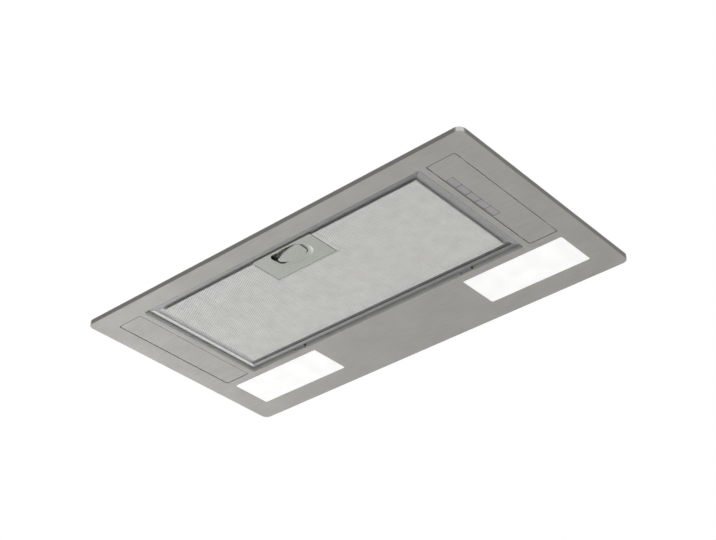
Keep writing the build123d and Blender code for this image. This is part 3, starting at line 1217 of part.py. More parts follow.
# Electrical parts
def make_terminal_box():
    """A box under the top plate and against the right partition, open below."""
    x_b = PARTITION_OUT + TERMINAL_BOX_LENGTH
    y_b = TERMINAL_BOX_FRONT + TERMINAL_BOX_DEPTH
    low = WALL_TOP - TERMINAL_BOX_HEIGHT
    wall = TERMINAL_BOX_WALL
    box = block(PARTITION_OUT, x_b, TERMINAL_BOX_FRONT, y_b, low, WALL_TOP)
    box -= block(PARTITION_OUT + wall, x_b - wall, TERMINAL_BOX_FRONT + wall, y_b - wall,
                 low, WALL_TOP - wall)
    box -= rod_z(GLAND_THREAD_RADIUS + GLAND_HOLE_GAP, low, WALL_TOP, GLAND_X, GLAND_Y)
    return box - cable_holes(1, CABLE_GAP) - fitting_holes()


def make_terminal_box_cover():
    low = WALL_TOP - TERMINAL_BOX_HEIGHT
    cover = block(PARTITION_OUT, PARTITION_OUT + TERMINAL_BOX_LENGTH, TERMINAL_BOX_FRONT,
                  TERMINAL_BOX_FRONT + TERMINAL_BOX_DEPTH, low - TERMINAL_BOX_WALL, low)
    lip = TERMINAL_BOX_WALL + CABLE_GAP
    rim = block(PARTITION_OUT + lip, PARTITION_OUT + TERMINAL_BOX_LENGTH - lip,
                TERMINAL_BOX_FRONT + lip, TERMINAL_BOX_FRONT + TERMINAL_BOX_DEPTH - lip,
                low, low + 2 * TERMINAL_BOX_WALL)
    lip += TERMINAL_BOX_WALL
    rim -= block(PARTITION_OUT + lip, PARTITION_OUT + TERMINAL_BOX_LENGTH - lip,
                 TERMINAL_BOX_FRONT + lip, TERMINAL_BOX_FRONT + TERMINAL_BOX_DEPTH - lip,
                 low, low + 2 * TERMINAL_BOX_WALL)
    return cover + rim


def make_terminal_block():
    """A row of screw terminals on the box's inner wall."""
    x_a = PARTITION_OUT + TERMINAL_BOX_WALL
    y_a = GLAND_Y - TERMINAL_BLOCK_DEPTH / 2
    z_a = WALL_TOP - TERMINAL_BOX_HEIGHT + 3 * TERMINAL_BOX_WALL
    strip = block(x_a + SCREW_LENGTH, x_a + SCREW_LENGTH + TERMINAL_BLOCK_LENGTH, y_a,
                  y_a + TERMINAL_BLOCK_DEPTH, z_a, z_a + TERMINAL_BLOCK_HEIGHT)
    strip += block(x_a, x_a + SCREW_LENGTH, y_a, y_a + TERMINAL_BLOCK_DEPTH, z_a,
                   z_a + TERMINAL_BOX_WALL)
    pitch = TERMINAL_BLOCK_DEPTH / TERMINAL_COUNT
    x = x_a + SCREW_LENGTH + TERMINAL_BLOCK_LENGTH / 2
    for i in range(TERMINAL_COUNT):
        y = y_a + (i + 0.5) * pitch
        strip -= rod_z(TERMINAL_HOLE_RADIUS, z_a + TERMINAL_BLOCK_HEIGHT / 2,
                       z_a + TERMINAL_BLOCK_HEIGHT, x, y)
    return strip


def make_cable_gland():
    """The gland on the top plate and its nut inside the box, with a clear bore."""
    nut_top = WALL_TOP - TERMINAL_BOX_WALL
    nut_low = nut_top - GLAND_NUT_HEIGHT
    hex_top = BODY_TOP + GLAND_HEX_HEIGHT
    dome = rod_z(GLAND_DOME_RADIUS, hex_top, hex_top + GLAND_DOME_HEIGHT, GLAND_X, GLAND_Y)
    dome = fillet(dome.faces().sort_by(Axis.Z)[-1].edges(), GLAND_DOME_HEIGHT / 3)
    gland = hexagon(GLAND_ACROSS_FLATS, BODY_TOP, hex_top, GLAND_X, GLAND_Y) + dome
    gland += rod_z(GLAND_THREAD_RADIUS, nut_low, BODY_TOP, GLAND_X, GLAND_Y)
    gland -= rod_z(GLAND_BORE_RADIUS, nut_low, hex_top + GLAND_DOME_HEIGHT, GLAND_X, GLAND_Y)
    nut = hexagon(GLAND_ACROSS_FLATS, nut_low, nut_top, GLAND_X, GLAND_Y)
    nut -= rod_z(GLAND_THREAD_RADIUS + FIT_GAP, nut_low, nut_top, GLAND_X, GLAND_Y)
    return gland, nut


def make_led_driver():
    """The lights' driver, a ribbed case on the right partition."""
    x_b = PARTITION_OUT + DRIVER_LENGTH
    case = block(PARTITION_OUT, x_b, DRIVER_FRONT, DRIVER_FRONT + DRIVER_DEPTH, DRIVER_Z,
                 DRIVER_Z + DRIVER_HEIGHT)
    pitch = DRIVER_DEPTH / DRIVER_RIB_COUNT
    for i in range(DRIVER_RIB_COUNT):
        y = DRIVER_FRONT + (i + 0.5) * pitch
        case += block(x_b, x_b + DRIVER_RIB, y - pitch / 4, y + pitch / 4,
                      DRIVER_Z + DRIVER_RIB, DRIVER_Z + DRIVER_HEIGHT - DRIVER_RIB)
    return case - fitting_holes()


def make_capacitor():
    can = rod_y(CAPACITOR_RADIUS, CAPACITOR_Y - CAPACITOR_LENGTH / 2,
                CAPACITOR_Y + CAPACITOR_LENGTH / 2, CAPACITOR_X, CAPACITOR_Z)
    return fillet(can.edges().filter_by(GeomType.CIRCLE), CAPACITOR_CLIP_SHEET)


def make_capacitor_clip():
    """A strap round the capacitor with two ears on the partition."""
    y_a = CAPACITOR_Y - CAPACITOR_CLIP_WIDTH / 2
    y_b = CAPACITOR_Y + CAPACITOR_CLIP_WIDTH / 2
    outer = CAPACITOR_RADIUS + CAPACITOR_CLIP_SHEET
    clip = rod_y(outer, y_a, y_b, CAPACITOR_X, CAPACITOR_Z)
    reach = outer + CAPACITOR_CLIP_EAR
    clip += block(PARTITION_OUT, PARTITION_OUT + CAPACITOR_CLIP_SHEET, y_a, y_b,
                  CAPACITOR_Z - reach, CAPACITOR_Z + reach)
    clip -= rod_y(CAPACITOR_RADIUS + FIT_GAP, y_a, y_b, CAPACITOR_X, CAPACITOR_Z)
    return clip - fitting_holes()


# Inner cables
def cable(points, corner_radii, radius):
    """A round cable along straight runs joined by arcs."""
    path = FilletPolyline(*points, radius=corner_radii)
    section = Plane(path @ 0, z_dir=path % 0) * Circle(radius)
    print("cable length", round(path.length, 1), "corner radii", corner_radii)
    return sweep(section, path=path)


def make_motor_cable():
    """From the terminal box along the back of the air chamber to the motor's left end."""
    motor_z = FAN_Z + MOTOR_RADIUS / 2
    turn_x = MOTOR_LEFT - MOTOR_CABLE_TURN
    # The bends are chosen by hand, each from the back wall, the turn or the motor's end.
    points = [(PARTITION_OUT + TERMINAL_BOX_WALL, CABLE_Y, MOTOR_CABLE_Z),
              (turn_x + 30, CABLE_Y, MOTOR_CABLE_Z),
              (turn_x - 10, CABLE_Y - 45, MOTOR_CABLE_Z - 12), (turn_x, FAN_Y + 25, motor_z + 12),
              (MOTOR_LEFT - 22, FAN_Y, motor_z), (MOTOR_LEFT, FAN_Y, motor_z)]
    return cable(points, [30, 35, 25, 12], MOTOR_CABLE_RADIUS)


def make_lamp_cables():
    """From the driver to the light beside it, and along the back to the far light."""
    housing_top = PANEL_SHEET + LIGHT_HEIGHT
    driver_x = PARTITION_OUT + DRIVER_LENGTH / 2
    driver_back = DRIVER_FRONT + DRIVER_DEPTH
    near = rod_z(LAMP_CABLE_RADIUS, housing_top, DRIVER_Z, driver_x, LIGHT_Y)
    points = [(driver_x, driver_back, LAMP_CABLE_Z), (driver_x, CABLE_Y, LAMP_CABLE_Z),
              (-driver_x, CABLE_Y, LAMP_CABLE_Z), (-driver_x, LIGHT_Y, housing_top + LAMP_CABLE_DROP),
              (-driver_x, LIGHT_Y, housing_top)]
    return near, cable(points, [7, 9, 14], LAMP_CABLE_RADIUS)


def make_grommets():
    """Rubber rings in the partitions where a cable goes through."""
    grommets = []
    holes = [(-1, LAMP_CABLE_RADIUS, LAMP_CABLE_Z), (1, LAMP_CABLE_RADIUS, LAMP_CABLE_Z),
             (1, MOTOR_CABLE_RADIUS, MOTOR_CABLE_Z)]
    for side, radius, z in holes:
        inner = radius + CABLE_GAP
        lip_x = side * (PARTITION_X - GROMMET_LIP)
        ring = rod_x(inner + GROMMET_WALL, side * PARTITION_X, side * PARTITION_OUT, CABLE_Y, z)
        ring += rod_x(inner + GROMMET_WALL + GROMMET_LIP, lip_x, side * PARTITION_X, CABLE_Y, z)
        grommets.append(ring - rod_x(inner, lip_x, side * PARTITION_OUT, CABLE_Y, z))
    return grommets


# Every node, written as its own file
os.makedirs("parts", exist_ok=True)

save("panel", make_panel())
save("panel_nuts", *make_panel_nuts())
save("front_wall", make_long_wall(-1))
save("back_wall", make_long_wall(1))
save("top_plate", make_top_plate())
save("body_screws", *make_body_screws())
save("cabinet_spring_clips", *make_spring_clips())
for side, word in ((-1, "left"), (1, "right")):
    save(f"{word}_end_wall", make_end_wall(side))
    save(f"{word}_partition", make_partition(side))
    save(f"{word}_end_cover", make_end_cover(side))
    save(f"{word}_light_lens", make_light_lens(side))
    save(f"{word}_light_housing", make_light_housing(side))
    save(f"{word}_led_board", make_led_board(side))
    save(f"scroll_{word}", make_scroll_half(side))

for index in range(BUTTON_COUNT):
    save(f"button_{index + 1}", make_button(index))
save("switch_block", make_switch_block())
save("terminal_box", make_terminal_box())
save("terminal_box_cover", make_terminal_box_cover())
save("terminal_block", make_terminal_block())
save("cable_gland", *make_cable_gland())
save("led_driver", make_led_driver())
save("motor_capacitor", make_capacitor())
save("capacitor_clip", make_capacitor_clip())
save("motor_cable", make_motor_cable())
save("lamp_cables", *make_lamp_cables())
save("cable_grommets", *make_grommets())

save("scroll_screws", *make_scroll_screws())
save("fan_wheel", *make_fan_wheel())
save("wheel_nut", make_wheel_nut())
save("motor_shaft", make_motor_shaft())
save("motor_rotor", make_rotor())
save("motor_stator", make_stator())
save("motor_bearings", *make_bearings())
save("motor_housing", make_motor_cup(MOTOR_LEFT, STATOR_X))
save("motor_end_cover", make_motor_cup(MOTOR_RIGHT, STATOR_X))
save("motor_bracket", make_motor_bracket())
save("outlet_collar", make_outlet_collar())
save("flap_pin", make_flap_pin())
save("damper_flap_front", make_flap(-1))
save("damper_flap_rear", make_flap(1))

save("filter_frame", make_filter_frame())
save("filter_front_mesh", make_front_mesh())
save("filter_media", make_media())
save("filter_rear_mesh", mesh_sheet(FILTER_SHEET + INNER_GAP, FILTER_TOP - FILTER_SHEET
                                    - MESH_SHEET - CLOSE_GAP, None))
save("latch_plate", make_latch_plate())
save("latch_slide", make_latch_slide())
save("latch_springs", *make_latch_springs())
save("filter_hooks", *make_filter_hooks())
save("filter_rivets", *make_filter_rivets())
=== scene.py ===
# %% [markdown]
# # A built-in range hood
#
# A built-in hood hangs in a cupboard. From the kitchen only its flat steel panel shows, with
# a grease filter, two lights and a row of push buttons. Above the panel sits a box of
# galvanised sheet with the blower, and a round spigot on top takes the duct.
#
# The construction model already holds every piece at its real size. This lesson gives each
# piece its finish, and models again those whose real shape is finer than the construction
# needs: sheet with bends, nets, pressed trays, screws and ribs. The room and the camera are in
# metres. The pieces are drawn in millimetres, and each is scaled to metres when it is done.

import json
import math

import bmesh
import bpy
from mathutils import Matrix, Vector

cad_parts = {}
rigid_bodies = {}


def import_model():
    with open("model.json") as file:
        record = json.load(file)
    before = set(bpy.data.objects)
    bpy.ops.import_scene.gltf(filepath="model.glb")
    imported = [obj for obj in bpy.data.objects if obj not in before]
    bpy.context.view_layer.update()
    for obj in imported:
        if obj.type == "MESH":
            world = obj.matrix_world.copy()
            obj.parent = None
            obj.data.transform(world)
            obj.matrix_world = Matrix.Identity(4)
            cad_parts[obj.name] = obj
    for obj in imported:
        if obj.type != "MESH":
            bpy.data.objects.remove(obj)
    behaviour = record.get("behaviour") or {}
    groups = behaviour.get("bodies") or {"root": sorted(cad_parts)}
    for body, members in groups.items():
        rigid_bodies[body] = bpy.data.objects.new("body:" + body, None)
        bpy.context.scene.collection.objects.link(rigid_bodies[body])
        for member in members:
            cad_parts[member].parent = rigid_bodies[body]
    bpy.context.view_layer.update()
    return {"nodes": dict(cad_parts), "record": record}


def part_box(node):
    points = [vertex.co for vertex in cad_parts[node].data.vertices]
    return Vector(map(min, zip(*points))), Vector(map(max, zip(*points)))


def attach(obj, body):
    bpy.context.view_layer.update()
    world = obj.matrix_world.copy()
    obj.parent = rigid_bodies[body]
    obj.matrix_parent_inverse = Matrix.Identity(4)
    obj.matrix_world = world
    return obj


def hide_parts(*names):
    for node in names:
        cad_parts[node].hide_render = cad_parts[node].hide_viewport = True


MM = 0.001

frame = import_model()
nodes = frame["nodes"]


def mm_box(node):
    """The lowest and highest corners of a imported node, in millimetres."""
    low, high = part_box(node)
    return low * 1000, high * 1000


# %% [markdown]
# ## Camera
#
# The hood is seen from below and from its right, as a cook looks up at it. The place, aim and
# lens come from fitting a pinhole camera to the panel's edges at its real size.

# %% Camera
CAMERA_PLACE = Vector((0.9021, -1.0201, -0.8839))
CAMERA_AIM = Vector((-0.5455, 0.6253, 0.5581))
LENS_LENGTH = 75.7

bpy.ops.object.camera_add(location=CAMERA_PLACE)
camera = bpy.context.object
camera.rotation_mode = "QUATERNION"
camera.rotation_quaternion = CAMERA_AIM.to_track_quat("-Z", "Y")
camera.data.lens = LENS_LENGTH
bpy.context.scene.camera = camera
bpy.context.scene.view_settings.view_transform = "Standard"
print("lens", LENS_LENGTH)

# %% [markdown]
# ## Helpers for finishes
#
# Colours are written as sRGB hex values, which is how a colour picker shows them, and the
# shader wants them linear. One function adds a node, fills its sockets and links it.


# %% Colour and node helpers
def colour(code):
    """An sRGB hex colour as linear red, green, blue and alpha."""
    parts = [int(code[i:i + 2], 16) / 255 for i in (0, 2, 4)]
    return [c / 12.92 if c <= 0.04045 else ((c + 0.055) / 1.055) ** 2.4 for c in parts] + [1]


def add(tree, kind, inputs, **settings):
    """Adds a shader node; inputs gives sockets a value, or the node or output that feeds it."""
    made = tree.nodes.new("ShaderNode" + kind)
    for name, value in settings.items():
        setattr(made, name, value)
    for key, value in inputs.items():
        if isinstance(value, bpy.types.Node):
            value = value.outputs[0]
        if isinstance(value, bpy.types.NodeSocket):
            tree.links.new(value, made.inputs[key])
        else:
            made.inputs[key].default_value = value
    return made


def new_material(name):
    """An empty material and its node tree."""
    made = bpy.data.materials.new(name)
    made.use_nodes = True
    made.node_tree.nodes.clear()
    return made, made.node_tree


# %% [markdown]
# ## Room and light
#
# The room is a plain pale floor under the hood and white all round. In the kitchen the hood
# hangs in a cut-out of a cupboard's floor, so a white board lies on the panel's rim and hides
# the box above it from below. The board shows only its underside, and only to the camera, so
# it takes no light and the box is open to view from the sides and from above. Two wide lamps
# with a grid light the panel from the left and the box from above.

# %% Room and light
ROOM_LEVEL = 0.62
WHITE = (1, 1, 1, 1)
FLOOR_Z = -1.55
FLOOR_SIZE = 24.0
FLOOR_WHITE_FROM = 1.5
FLOOR_WHITE_TO = 6.0
BOARD_SIZE = 6.0
BOARD_PLACE = (0, 0, 0.0061)
CUT_OUT = (0.500, 0.266)
LAMP_SIZE = 2.0
LAMP_SPREAD = 80
LAMPS = {
    "lamp_below_left": ((-2.6, 1.2, -1.3), 3.5),
    "lamp_above": ((-1.2, 0.4, 2.8), 14),
}


def make_world():
    """Plain white to the camera, mirrors and glass, and dimmer as the light on the object."""
    world = bpy.data.worlds.new("studio")
    bpy.context.scene.world = world
    world.use_nodes = True
    tree = world.node_tree
    tree.nodes.clear()
    path = add(tree, "LightPath", {})
    seen = path.outputs["Is Camera Ray"]
    for other in ("Is Glossy Ray", "Is Transmission Ray"):
        seen = add(tree, "Math", {0: seen, 1: path.outputs[other]}, operation="MAXIMUM").outputs[0]
    strength = add(tree, "MapRange", {"Value": seen, "To Min": ROOM_LEVEL, "To Max": 1.0})
    plain = add(tree, "Background", {"Color": WHITE, "Strength": strength})
    add(tree, "OutputWorld", {0: plain})


def make_floor():
    """A pale floor that fades to white far away, and is clear from beneath."""
    made, tree = new_material("pale_floor")
    place = add(tree, "TexCoord", {})
    far = add(tree, "VectorMath", {0: place.outputs["Object"]}, operation="LENGTH")
    fade = add(tree, "MapRange", {"Value": far.outputs["Value"], "From Min": FLOOR_WHITE_FROM,
                                  "From Max": FLOOR_WHITE_TO}, interpolation_type="SMOOTHSTEP")
    path = add(tree, "LightPath", {})
    share = add(tree, "Math", {0: fade, 1: path.outputs["Is Camera Ray"]}, operation="MULTIPLY")
    pale = add(tree, "BsdfDiffuse", {"Color": colour("EFEFED")})
    white = add(tree, "Emission", {"Color": WHITE})
    top = add(tree, "MixShader", {0: share, 1: pale, 2: white})
    clear = add(tree, "BsdfTransparent", {})
    side = add(tree, "NewGeometry", {})
    both = add(tree, "MixShader", {0: side.outputs["Backfacing"], 1: top, 2: clear})
    add(tree, "OutputMaterial", {0: both})
    bpy.ops.mesh.primitive_plane_add(size=FLOOR_SIZE, location=(0, 0, FLOOR_Z))
    floor = bpy.context.object
    floor.name = "floor"
    floor.data.materials.append(made)
    return floor


def make_board():
    """The cupboard's underside round the cut-out, white from below and clear otherwise."""
    made, tree = new_material("cupboard_underside")
    side = add(tree, "NewGeometry", {})
    path = add(tree, "LightPath", {})
    shows = add(tree, "Math", {0: side.outputs["Backfacing"],
                               1: path.outputs["Is Camera Ray"]}, operation="MULTIPLY")
    clear = add(tree, "BsdfTransparent", {})
    white = add(tree, "Emission", {"Color": WHITE})
    both = add(tree, "MixShader", {0: shows, 1: clear, 2: white})
    add(tree, "OutputMaterial", {0: both})
    bpy.ops.object.add(type="MESH", location=(0, 0, 0))
    board = bpy.context.object
    board.name = "cupboard_board"
    bpy.ops.object.mode_set(mode="EDIT")
    for length, depth in ((BOARD_SIZE, BOARD_SIZE), CUT_OUT):
        bpy.ops.mesh.select_all(action="DESELECT")
        bpy.ops.mesh.primitive_plane_add(size=1, location=BOARD_PLACE)
        bpy.ops.transform.resize(value=(length, depth, 1), center_override=BOARD_PLACE)
        bpy.ops.mesh.delete(type="ONLY_FACE")
    bpy.ops.mesh.select_all(action="SELECT")
    bpy.ops.mesh.fill()
    bpy.ops.object.mode_set(mode="OBJECT")
    if board.data.polygons[0].normal.z < 0:
        board.data.flip_normals()
    board.data.materials.append(made)
    return board


def make_lamp(name, place, power):
    """A soft square lamp with a grid on it, aimed at the hood; its power is in watts."""
    bpy.ops.object.light_add(type="AREA", location=place)
    lamp = bpy.context.object
    lamp.name = name
    lamp.data.size = LAMP_SIZE
    lamp.data.energy = power
    lamp.data.spread = math.radians(LAMP_SPREAD)
    lamp.visible_camera = False
    lamp.rotation_mode = "QUATERNION"
    lamp.rotation_quaternion = (-Vector(place)).to_track_quat("-Z", "Y")


make_world()
make_floor()
make_board()
for lamp_name, (lamp_place, watts) in LAMPS.items():
    make_lamp(lamp_name, lamp_place, watts)
    print(lamp_name, watts, "W")

# %% [markdown]
# ## Which piece is what
#
# The record says what each piece is made of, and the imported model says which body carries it.
# A new piece takes both from the piece that it stands for, so neither is written twice.

# %% Bodies and slots
SLOTS = {entry["node"]: entry["material_slot"] for entry in frame["record"]["subparts"]}


def stand_in(piece, *names):
    """Gives a new piece the finish, the body and the slot of the nodes that it replaces."""
    piece.data.materials.clear()
    piece.data.materials.append(LOOKS[SLOTS[names[0]]])
    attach(piece, nodes[names[0]].parent.name.split(":")[1])
    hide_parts(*names)
    print(piece.name, "triangles", sum(len(p.vertices) - 2 for p in piece.data.polygons))


# %% [markdown]
# ## Finishes
#
# Each finish is one pattern at its real size, which steers colour, roughness and relief
# together, as wear and tooling do: where a scratch is deep it is also darker and rougher. The
# pattern lies in the object's own space, so it needs no unwrapping and never slides.


# %% The shader that all finishes share
def pattern(tree, kind, size, **inputs):
    """A texture in the object's own space, so many millimetres long along x, y and z."""
    place = add(tree, "TexCoord", {})
    scale = [1 / (length * MM) for length in size]
    laid = add(tree, "Mapping", {"Vector": place.outputs["Object"], "Scale": scale})
    return add(tree, kind, {"Vector": laid, "Scale": 1.0, **inputs})


def shade(tree, texture, spread, deep, pale, roughness, relief, **sockets):
    """A surface whose colour, roughness and relief, in millimetres, follow one pattern."""
    share = add(tree, "MapRange", {"Value": texture, "From Min": spread[0], "From Max": spread[1]})
    tone = add(tree, "Mix", {0: share, 6: colour(deep), 7: colour(pale)}, data_type="RGBA")
    rough = add(tree, "MapRange", {"Value": share, "To Min": roughness[1], "To Max": roughness[0]})
    bump = add(tree, "Bump", {"Height": share, "Distance": relief * MM})
    shader = add(tree, "BsdfPrincipled", {"Base Color": tone.outputs[2],
                                          "Roughness": rough, "Normal": bump, **sockets})
    add(tree, "OutputMaterial", {0: shader})
    return shader


def overlay(tree, shader, share, code, metallic=1.0):
    """Lays another colour over a finish where share is 1, as bright as metal or matt there."""
    before = shader.inputs["Base Color"].links[0].from_socket
    over = add(tree, "Mix", {0: share, 6: before, 7: colour(code)}, data_type="RGBA")
    tree.links.new(over.outputs[2], shader.inputs["Base Color"])
    if metallic < 1:
        sheen = add(tree, "MapRange", {"Value": share, "To Min": 1.0, "To Max": metallic})
        tree.links.new(sheen.outputs[0], shader.inputs["Metallic"])


def place_parts(tree):
    """The x, y and z in the object's own space, in metres, as three outputs."""
    place = add(tree, "TexCoord", {})
    return add(tree, "SeparateXYZ", {0: place.outputs["Object"]}).outputs


def above(tree, z):
    """1 above a height in millimetres, and 0 below it."""
    return add(tree, "Math", {0: place_parts(tree)["Z"], 1: z * MM}, operation="GREATER_THAN")


def outside(tree, rect, grown, band):
    """0 inside a rectangle grown on all sides, and 1 from a band of millimetres beyond it.

    Also gives the distances beyond it along x and y, which are negative inside.
    """
    x_a, x_b, y_a, y_b = rect
    middle = ((x_a + x_b) / 2 * MM, (y_a + y_b) / 2 * MM, 0)
    half = (((x_b - x_a) / 2 + grown) * MM, ((y_b - y_a) / 2 + grown) * MM, 0)
    place = add(tree, "TexCoord", {})
    centred = add(tree, "VectorMath", {0: place.outputs["Object"], 1: middle}, operation="SUBTRACT")
    apart = add(tree, "VectorMath", {0: centred}, operation="ABSOLUTE")
    beyond = add(tree, "VectorMath", {0: apart, 1: half}, operation="SUBTRACT")
    parts = add(tree, "SeparateXYZ", {0: beyond}).outputs
    most = add(tree, "Math", {0: parts["X"], 1: parts["Y"]}, operation="MAXIMUM")
    share = add(tree, "MapRange", {"Value": most, "From Max": band * MM})
    return share, parts["X"], parts["Y"]


# %% Metal finishes
PANEL_FACE = (-262.4, 262.4, -142.9, 142.9)
RIM_SHADE_BAND = 0.6
FOLD_LIGHT_FROM = 0.7
FILTER_RECT = (-191.0, 191.0, -117.2, 47.3)
WALL_SKIN = 0.4
HOOKS_BEYOND = 0.2
SHARP_BAND = 0.1
LONG_BAR_SHADED_LEVEL = 0.4
RIGHT_END_SHADED_LEVEL = 0.4


def brushed_stainless():
    """Belt-ground sheet: scratches run along it, so it glows softly and mirrors nothing.

    Its folds are painted pale as painted light, and its outer rim dark as painted shade.
    """
    made, tree = new_material("brushed_stainless")
    scratches = pattern(tree, "TexNoise", (26, 0.5, 0.5), Detail=3.0, Roughness=0.6)
    hands = pattern(tree, "TexNoise", (55, 55, 55), Detail=2.0)
    both = add(tree, "Math", {0: hands, 1: 0.45, 2: scratches}, operation="MULTIPLY_ADD")
    shader = shade(tree, both, (0.45, 1.0), "B0AFAB", "C5C4C1", (0.40, 0.52), 0.010, Metallic=1.0)
    rim = outside(tree, PANEL_FACE, 0, RIM_SHADE_BAND)[0]
    # Painted light: the folds in the gaps round the filter are painted pale and half matt, lifting
    # their shade.
    folds = add(tree, "Math", {0: above(tree, FOLD_LIGHT_FROM), 1: rim},
                operation="SUBTRACT", use_clamp=True)
    overlay(tree, shader, folds, "DCDCD9", 0.4)
    # Painted shade: the outer rim is painted dark, as the shade where it meets the cupboard.
    overlay(tree, shader, rim, "6F6E6A")
    return made


def rolled_aluminium():
    """Strip with faint cloudy bands; its long bars and right end are painted darker as shade.

    Its side walls are painted pale and matt as painted light, and the hooks beyond are darker.
    """
    made, tree = new_material("rolled_aluminium")
    bands = pattern(tree, "TexNoise", (9, 9, 2), Detail=4.0, Roughness=0.6)
    side_wall, past_end, past_side = outside(tree, FILTER_RECT, -WALL_SKIN, SHARP_BAND)
    # Painted shade: the long bars are painted darker than the end bars, and all bars darker towards
    # the right.
    end_bar = add(tree, "Math", {0: past_end, 1: past_side}, operation="GREATER_THAN")
    bright = add(tree, "Math", {0: end_bar, 1: 1 - LONG_BAR_SHADED_LEVEL, 2: LONG_BAR_SHADED_LEVEL},
                 operation="MULTIPLY_ADD")
    shade_to_right = add(tree, "MapRange", {"Value": place_parts(tree)["X"], "From Min": FILTER_RECT[0] * MM,
                                  "From Max": FILTER_RECT[1] * MM,
                                  "To Min": 1.0, "To Max": RIGHT_END_SHADED_LEVEL})
    painted_shade = add(tree, "Math", {0: bright, 1: shade_to_right}, operation="MULTIPLY")
    both = add(tree, "Math", {0: bands, 1: 0.3, 2: painted_shade}, operation="MULTIPLY_ADD")
    shader = shade(tree, both, (0.2, 1.2), "888989", "E2E3E3", (0.30, 0.42), 0.006, Metallic=1.0)
    # Painted light: the side walls in the gaps are painted pale and half matt, lifting their shade;
    # the hooks beyond are a darker grey.
    overlay(tree, shader, side_wall, "E4E4E3", 0.4)
    overlay(tree, shader, outside(tree, FILTER_RECT, HOOKS_BEYOND, SHARP_BAND)[0], "8C8D8D")
    return made


def galvanised_sheet():
    """Hot-dipped zinc freezes in flat crystals, and each one tilts its own way."""
    made, tree = new_material("galvanised_sheet")
    crystals = pattern(tree, "TexVoronoi", (9, 9, 9))
    frost = pattern(tree, "TexNoise", (1.5, 1.5, 1.5), Detail=3.0)
    both = add(tree, "Math", {0: frost, 1: 0.5, 2: crystals.outputs["Color"]},
               operation="MULTIPLY_ADD")
    shade(tree, both, (0.2, 1.3), "A2A6A8", "C6C9CA", (0.34, 0.52), 0.006, Metallic=0.85)
    return made


def laminated_iron():
    """The motor's core is a stack of half-millimetre sheets, seen as fine dark lines."""
    made, tree = new_material("laminated_iron")
    sheets = pattern(tree, "TexWave", (3.2, 3.2, 3.2), Distortion=0.1)
    shade(tree, sheets.outputs["Fac"], (0.0, 0.5), "3E4043", "7C7F82", (0.45, 0.6), 0.08,
          Metallic=1.0)
    return made


def drifting(name, deep, pale, size, roughness, relief=0.006, metallic=1.0, detail=4.0,
             grain=0.5):
    """A metal skin whose tone, sheen and relief drift together over a few millimetres."""
    made, tree = new_material(name)
    drift = pattern(tree, "TexNoise", size, Detail=detail, Roughness=grain)
    shade(tree, drift, (0.3, 0.7), deep, pale, roughness, relief, Metallic=metallic)
    return made


# %% Plastics, board and lamp
LIGHT_LOW = 0.56
LIGHT_HIGH = 0.60
DIODE_HEIGHT = 0.8
PHOSPHOR_MARGIN = 0.05


def moulded(name, deep, pale, grain, roughness):
    """Moulded plastic: the tool's fine leather grain, and slow drifts of tone from its flow."""
    made, tree = new_material(name)
    leather = pattern(tree, "TexNoise", (grain, grain, grain), Detail=2.0)
    flow = pattern(tree, "TexNoise", (24, 24, 24), Detail=3.0)
    both = add(tree, "Math", {0: flow, 1: 0.8, 2: leather}, operation="MULTIPLY_ADD")
    shade(tree, both, (0.6, 1.2), deep, pale, roughness, 0.02)
    return made


def opal_acrylic():
    """A lit diffuser: opal sheet spreads the diodes behind it to one even white field."""
    made, tree = new_material("opal_acrylic")
    diodes = pattern(tree, "TexNoise", (18, 18, 18), Detail=0.0)
    glow = add(tree, "MapRange", {"Value": diodes, "From Min": 0.3, "From Max": 0.7,
                                  "To Min": LIGHT_LOW, "To Max": LIGHT_HIGH})
    shade(tree, diodes, (0.3, 0.7), "C0C1C0", "C4C5C4", (0.35, 0.40), 0.004,
          **{"Emission Color": WHITE, "Emission Strength": glow})
    return made


def diode_board():
    """A white solder mask over copper, and yellow phosphor on the diodes that stand below it."""
    made, tree = new_material("diode_board")
    chip_top = mm_box("left_led_board")[0].z + DIODE_HEIGHT - PHOSPHOR_MARGIN
    mask = pattern(tree, "TexNoise", (4, 4, 4), Detail=2.0)
    both = add(tree, "Math", {0: mask, 1: 0.1, 2: above(tree, chip_top)}, operation="MULTIPLY_ADD")
    shade(tree, both, (0.0, 1.1), "E6C757", "F3F4F0", (0.35, 0.45), 0.01)
    return made


# %% [markdown]
# ## One finish for each slot
#
# The latch is thinner bright-annealed sheet, drawn in a tool to a satin skin without a
# direction. The nets have been through the dishwasher and carry a matt pale bloom. Screws and
# motor parts are steel with a thin plating, and each plastic has its own grain and depth.

